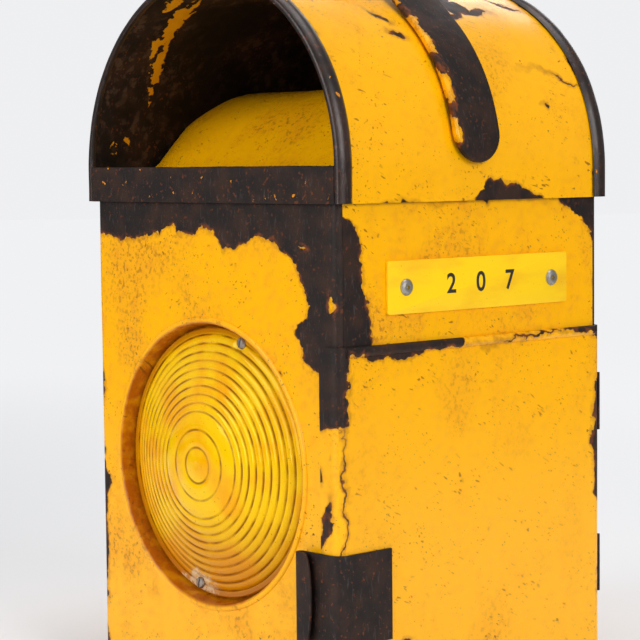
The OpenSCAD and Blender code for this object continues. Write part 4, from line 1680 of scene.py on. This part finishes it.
@dataclass
class Lamp:
    """What is inside: the tank, burner, wick and reflector."""

    def build(self) -> None:
        """Dresses the lamp's pieces."""
        tin = Metal("tank_tinplate", (0.42, 0.36, 0.27), RUST, roughness=0.38, stained=0.6)
        dress_nodes(tin.make(), "tank_body", "tank_lid", "filler_neck")
        brass = Metal("burner_brass", (0.62, 0.38, 0.11), (0.10, 0.05, 0.02), roughness=0.3, stained=0.55)
        dress_nodes(brass.make(), "filler_cap", "burner_collar", "burner_base", "wick_tube", "flame_guard",
                    "wick_knob")
        bright = Metal("reflector_metal", (0.86, 0.83, 0.76), (0.25, 0.20, 0.14), roughness=0.12,
                       stained=0.35, grain=0.004)
        dress_nodes(bright.make(), "reflector")
        zinc = Metal("zinc_steel", (0.42, 0.41, 0.40), (0.12, 0.09, 0.06), roughness=0.4)
        dress_nodes(zinc.make(), "reflector_bracket", "tank_spring", "wick_spindle", "wick_wheel")
        dress_nodes(Cotton("wick_cotton").make(), "wick")


@dataclass
class Studio:
    """Camera, floor and soft light."""

    camera_at: Triple = (0.8013, -0.7508, 0.2665)
    looks_at: Triple = (-0.0206, 0.0, 0.1823)
    roll: float = -0.6
    lens: float = 118.8
    sensor: float = 36.0
    softboxes: tuple[tuple[str, Triple, float, float], ...] = field(default_factory=lambda: (
        ("left_box", (-0.45, -1.75, 0.95), 1.0, 13.0),
        ("front_box", (0.30, -1.9, 0.42), 0.8, 9.0),
        ("right_box", (1.75, -0.25, 0.85), 0.9, 17.0),
        ("top_box", (0.25, 0.1, 1.9), 1.0, 12.0),
        ("rear_box", (-1.0, 1.5, 1.1), 1.2, 11.0)))
    pale: Colour = (0.86, 0.865, 0.88)
    fill: float = 0.40
    sweep: Pair = (450.0, 1700.0)

    def camera(self) -> None:
        """Places the camera."""
        data = bpy.data.cameras.new("camera")
        data.lens = self.lens
        data.sensor_width = self.sensor
        data.clip_start = 0.01
        camera = bpy.data.objects.new("camera", data)
        bpy.context.scene.collection.objects.link(camera)
        toward = Vector(self.looks_at) - Vector(self.camera_at)
        turn = toward.to_track_quat("-Z", "Y").to_matrix().to_4x4()
        roll = Euler((0, 0, math.radians(self.roll))).to_matrix().to_4x4()
        camera.matrix_world = turn @ roll
        camera.location = Vector(self.camera_at)
        bpy.context.scene.camera = camera

    def floor(self) -> None:
        """Lays a plain pale floor."""
        Bench.clear()
        bpy.ops.mesh.primitive_circle_add(vertices=96, radius=9, fill_type="NGON", location=(0, 0, 0))
        floor = bpy.context.active_object
        floor.name = "floor"
        ink = Shader("floor_paper")
        seen = ink.tree.nodes.new("ShaderNodeLightPath").outputs["Is Camera Ray"]
        far = ink.ramp(ink.vector("LENGTH", ink.place), *self.sweep)
        paper = ink.blend(far, (0.84, 0.845, 0.86), (0.0, 0.0, 0.0))
        dress(floor, ink.finish(Base_Color=paper, Roughness=0.85, Specular_IOR_Level=0.1,
                                Emission_Color=self.pale, Emission_Strength=ink.times(far, seen)))

    def light(self) -> None:
        """Hangs the softboxes and sets the surroundings."""
        for name, spot, size, power in self.softboxes:
            data = bpy.data.lights.new(name, "AREA")
            data.shape = "SQUARE"
            data.size = size
            data.energy = power
            lamp = bpy.data.objects.new(name, data)
            bpy.context.scene.collection.objects.link(lamp)
            toward = Vector((0, 0, 0.2)) - Vector(spot)
            lamp.matrix_world = toward.to_track_quat("-Z", "Y").to_matrix().to_4x4()
            lamp.location = Vector(spot)
        world = bpy.data.worlds.new("studio")
        world.use_nodes = True
        tree = world.node_tree
        sky = tree.nodes["Background"]
        seen = tree.nodes.new("ShaderNodeLightPath").outputs["Is Camera Ray"]
        strength = tree.nodes.new("ShaderNodeMapRange")
        strength.inputs[3].default_value = self.fill
        tree.links.new(seen, strength.inputs[0])
        tree.links.new(strength.outputs[0], sky.inputs["Strength"])
        sky.inputs["Color"].default_value = (*self.pale, 1)
        bpy.context.scene.world = world
        bpy.context.scene.view_settings.view_transform = "Standard"

    def build(self) -> None:
        """Sets up the studio."""
        self.camera()
        self.floor()
        self.light()


def main() -> None:
    """Builds the studio and every sub-assembly, and reports each piece."""
    logging.basicConfig(level=logging.INFO, format="%(name)s: %(message)s")
    for part in (Studio(), Case(), Hood(), Handle(), Plate(), Lens(), Door(), Clasp(), Lamp()):
        LOG.info("building %s", type(part).__name__)
        part.build()


if __name__ == "__main__":
    main()
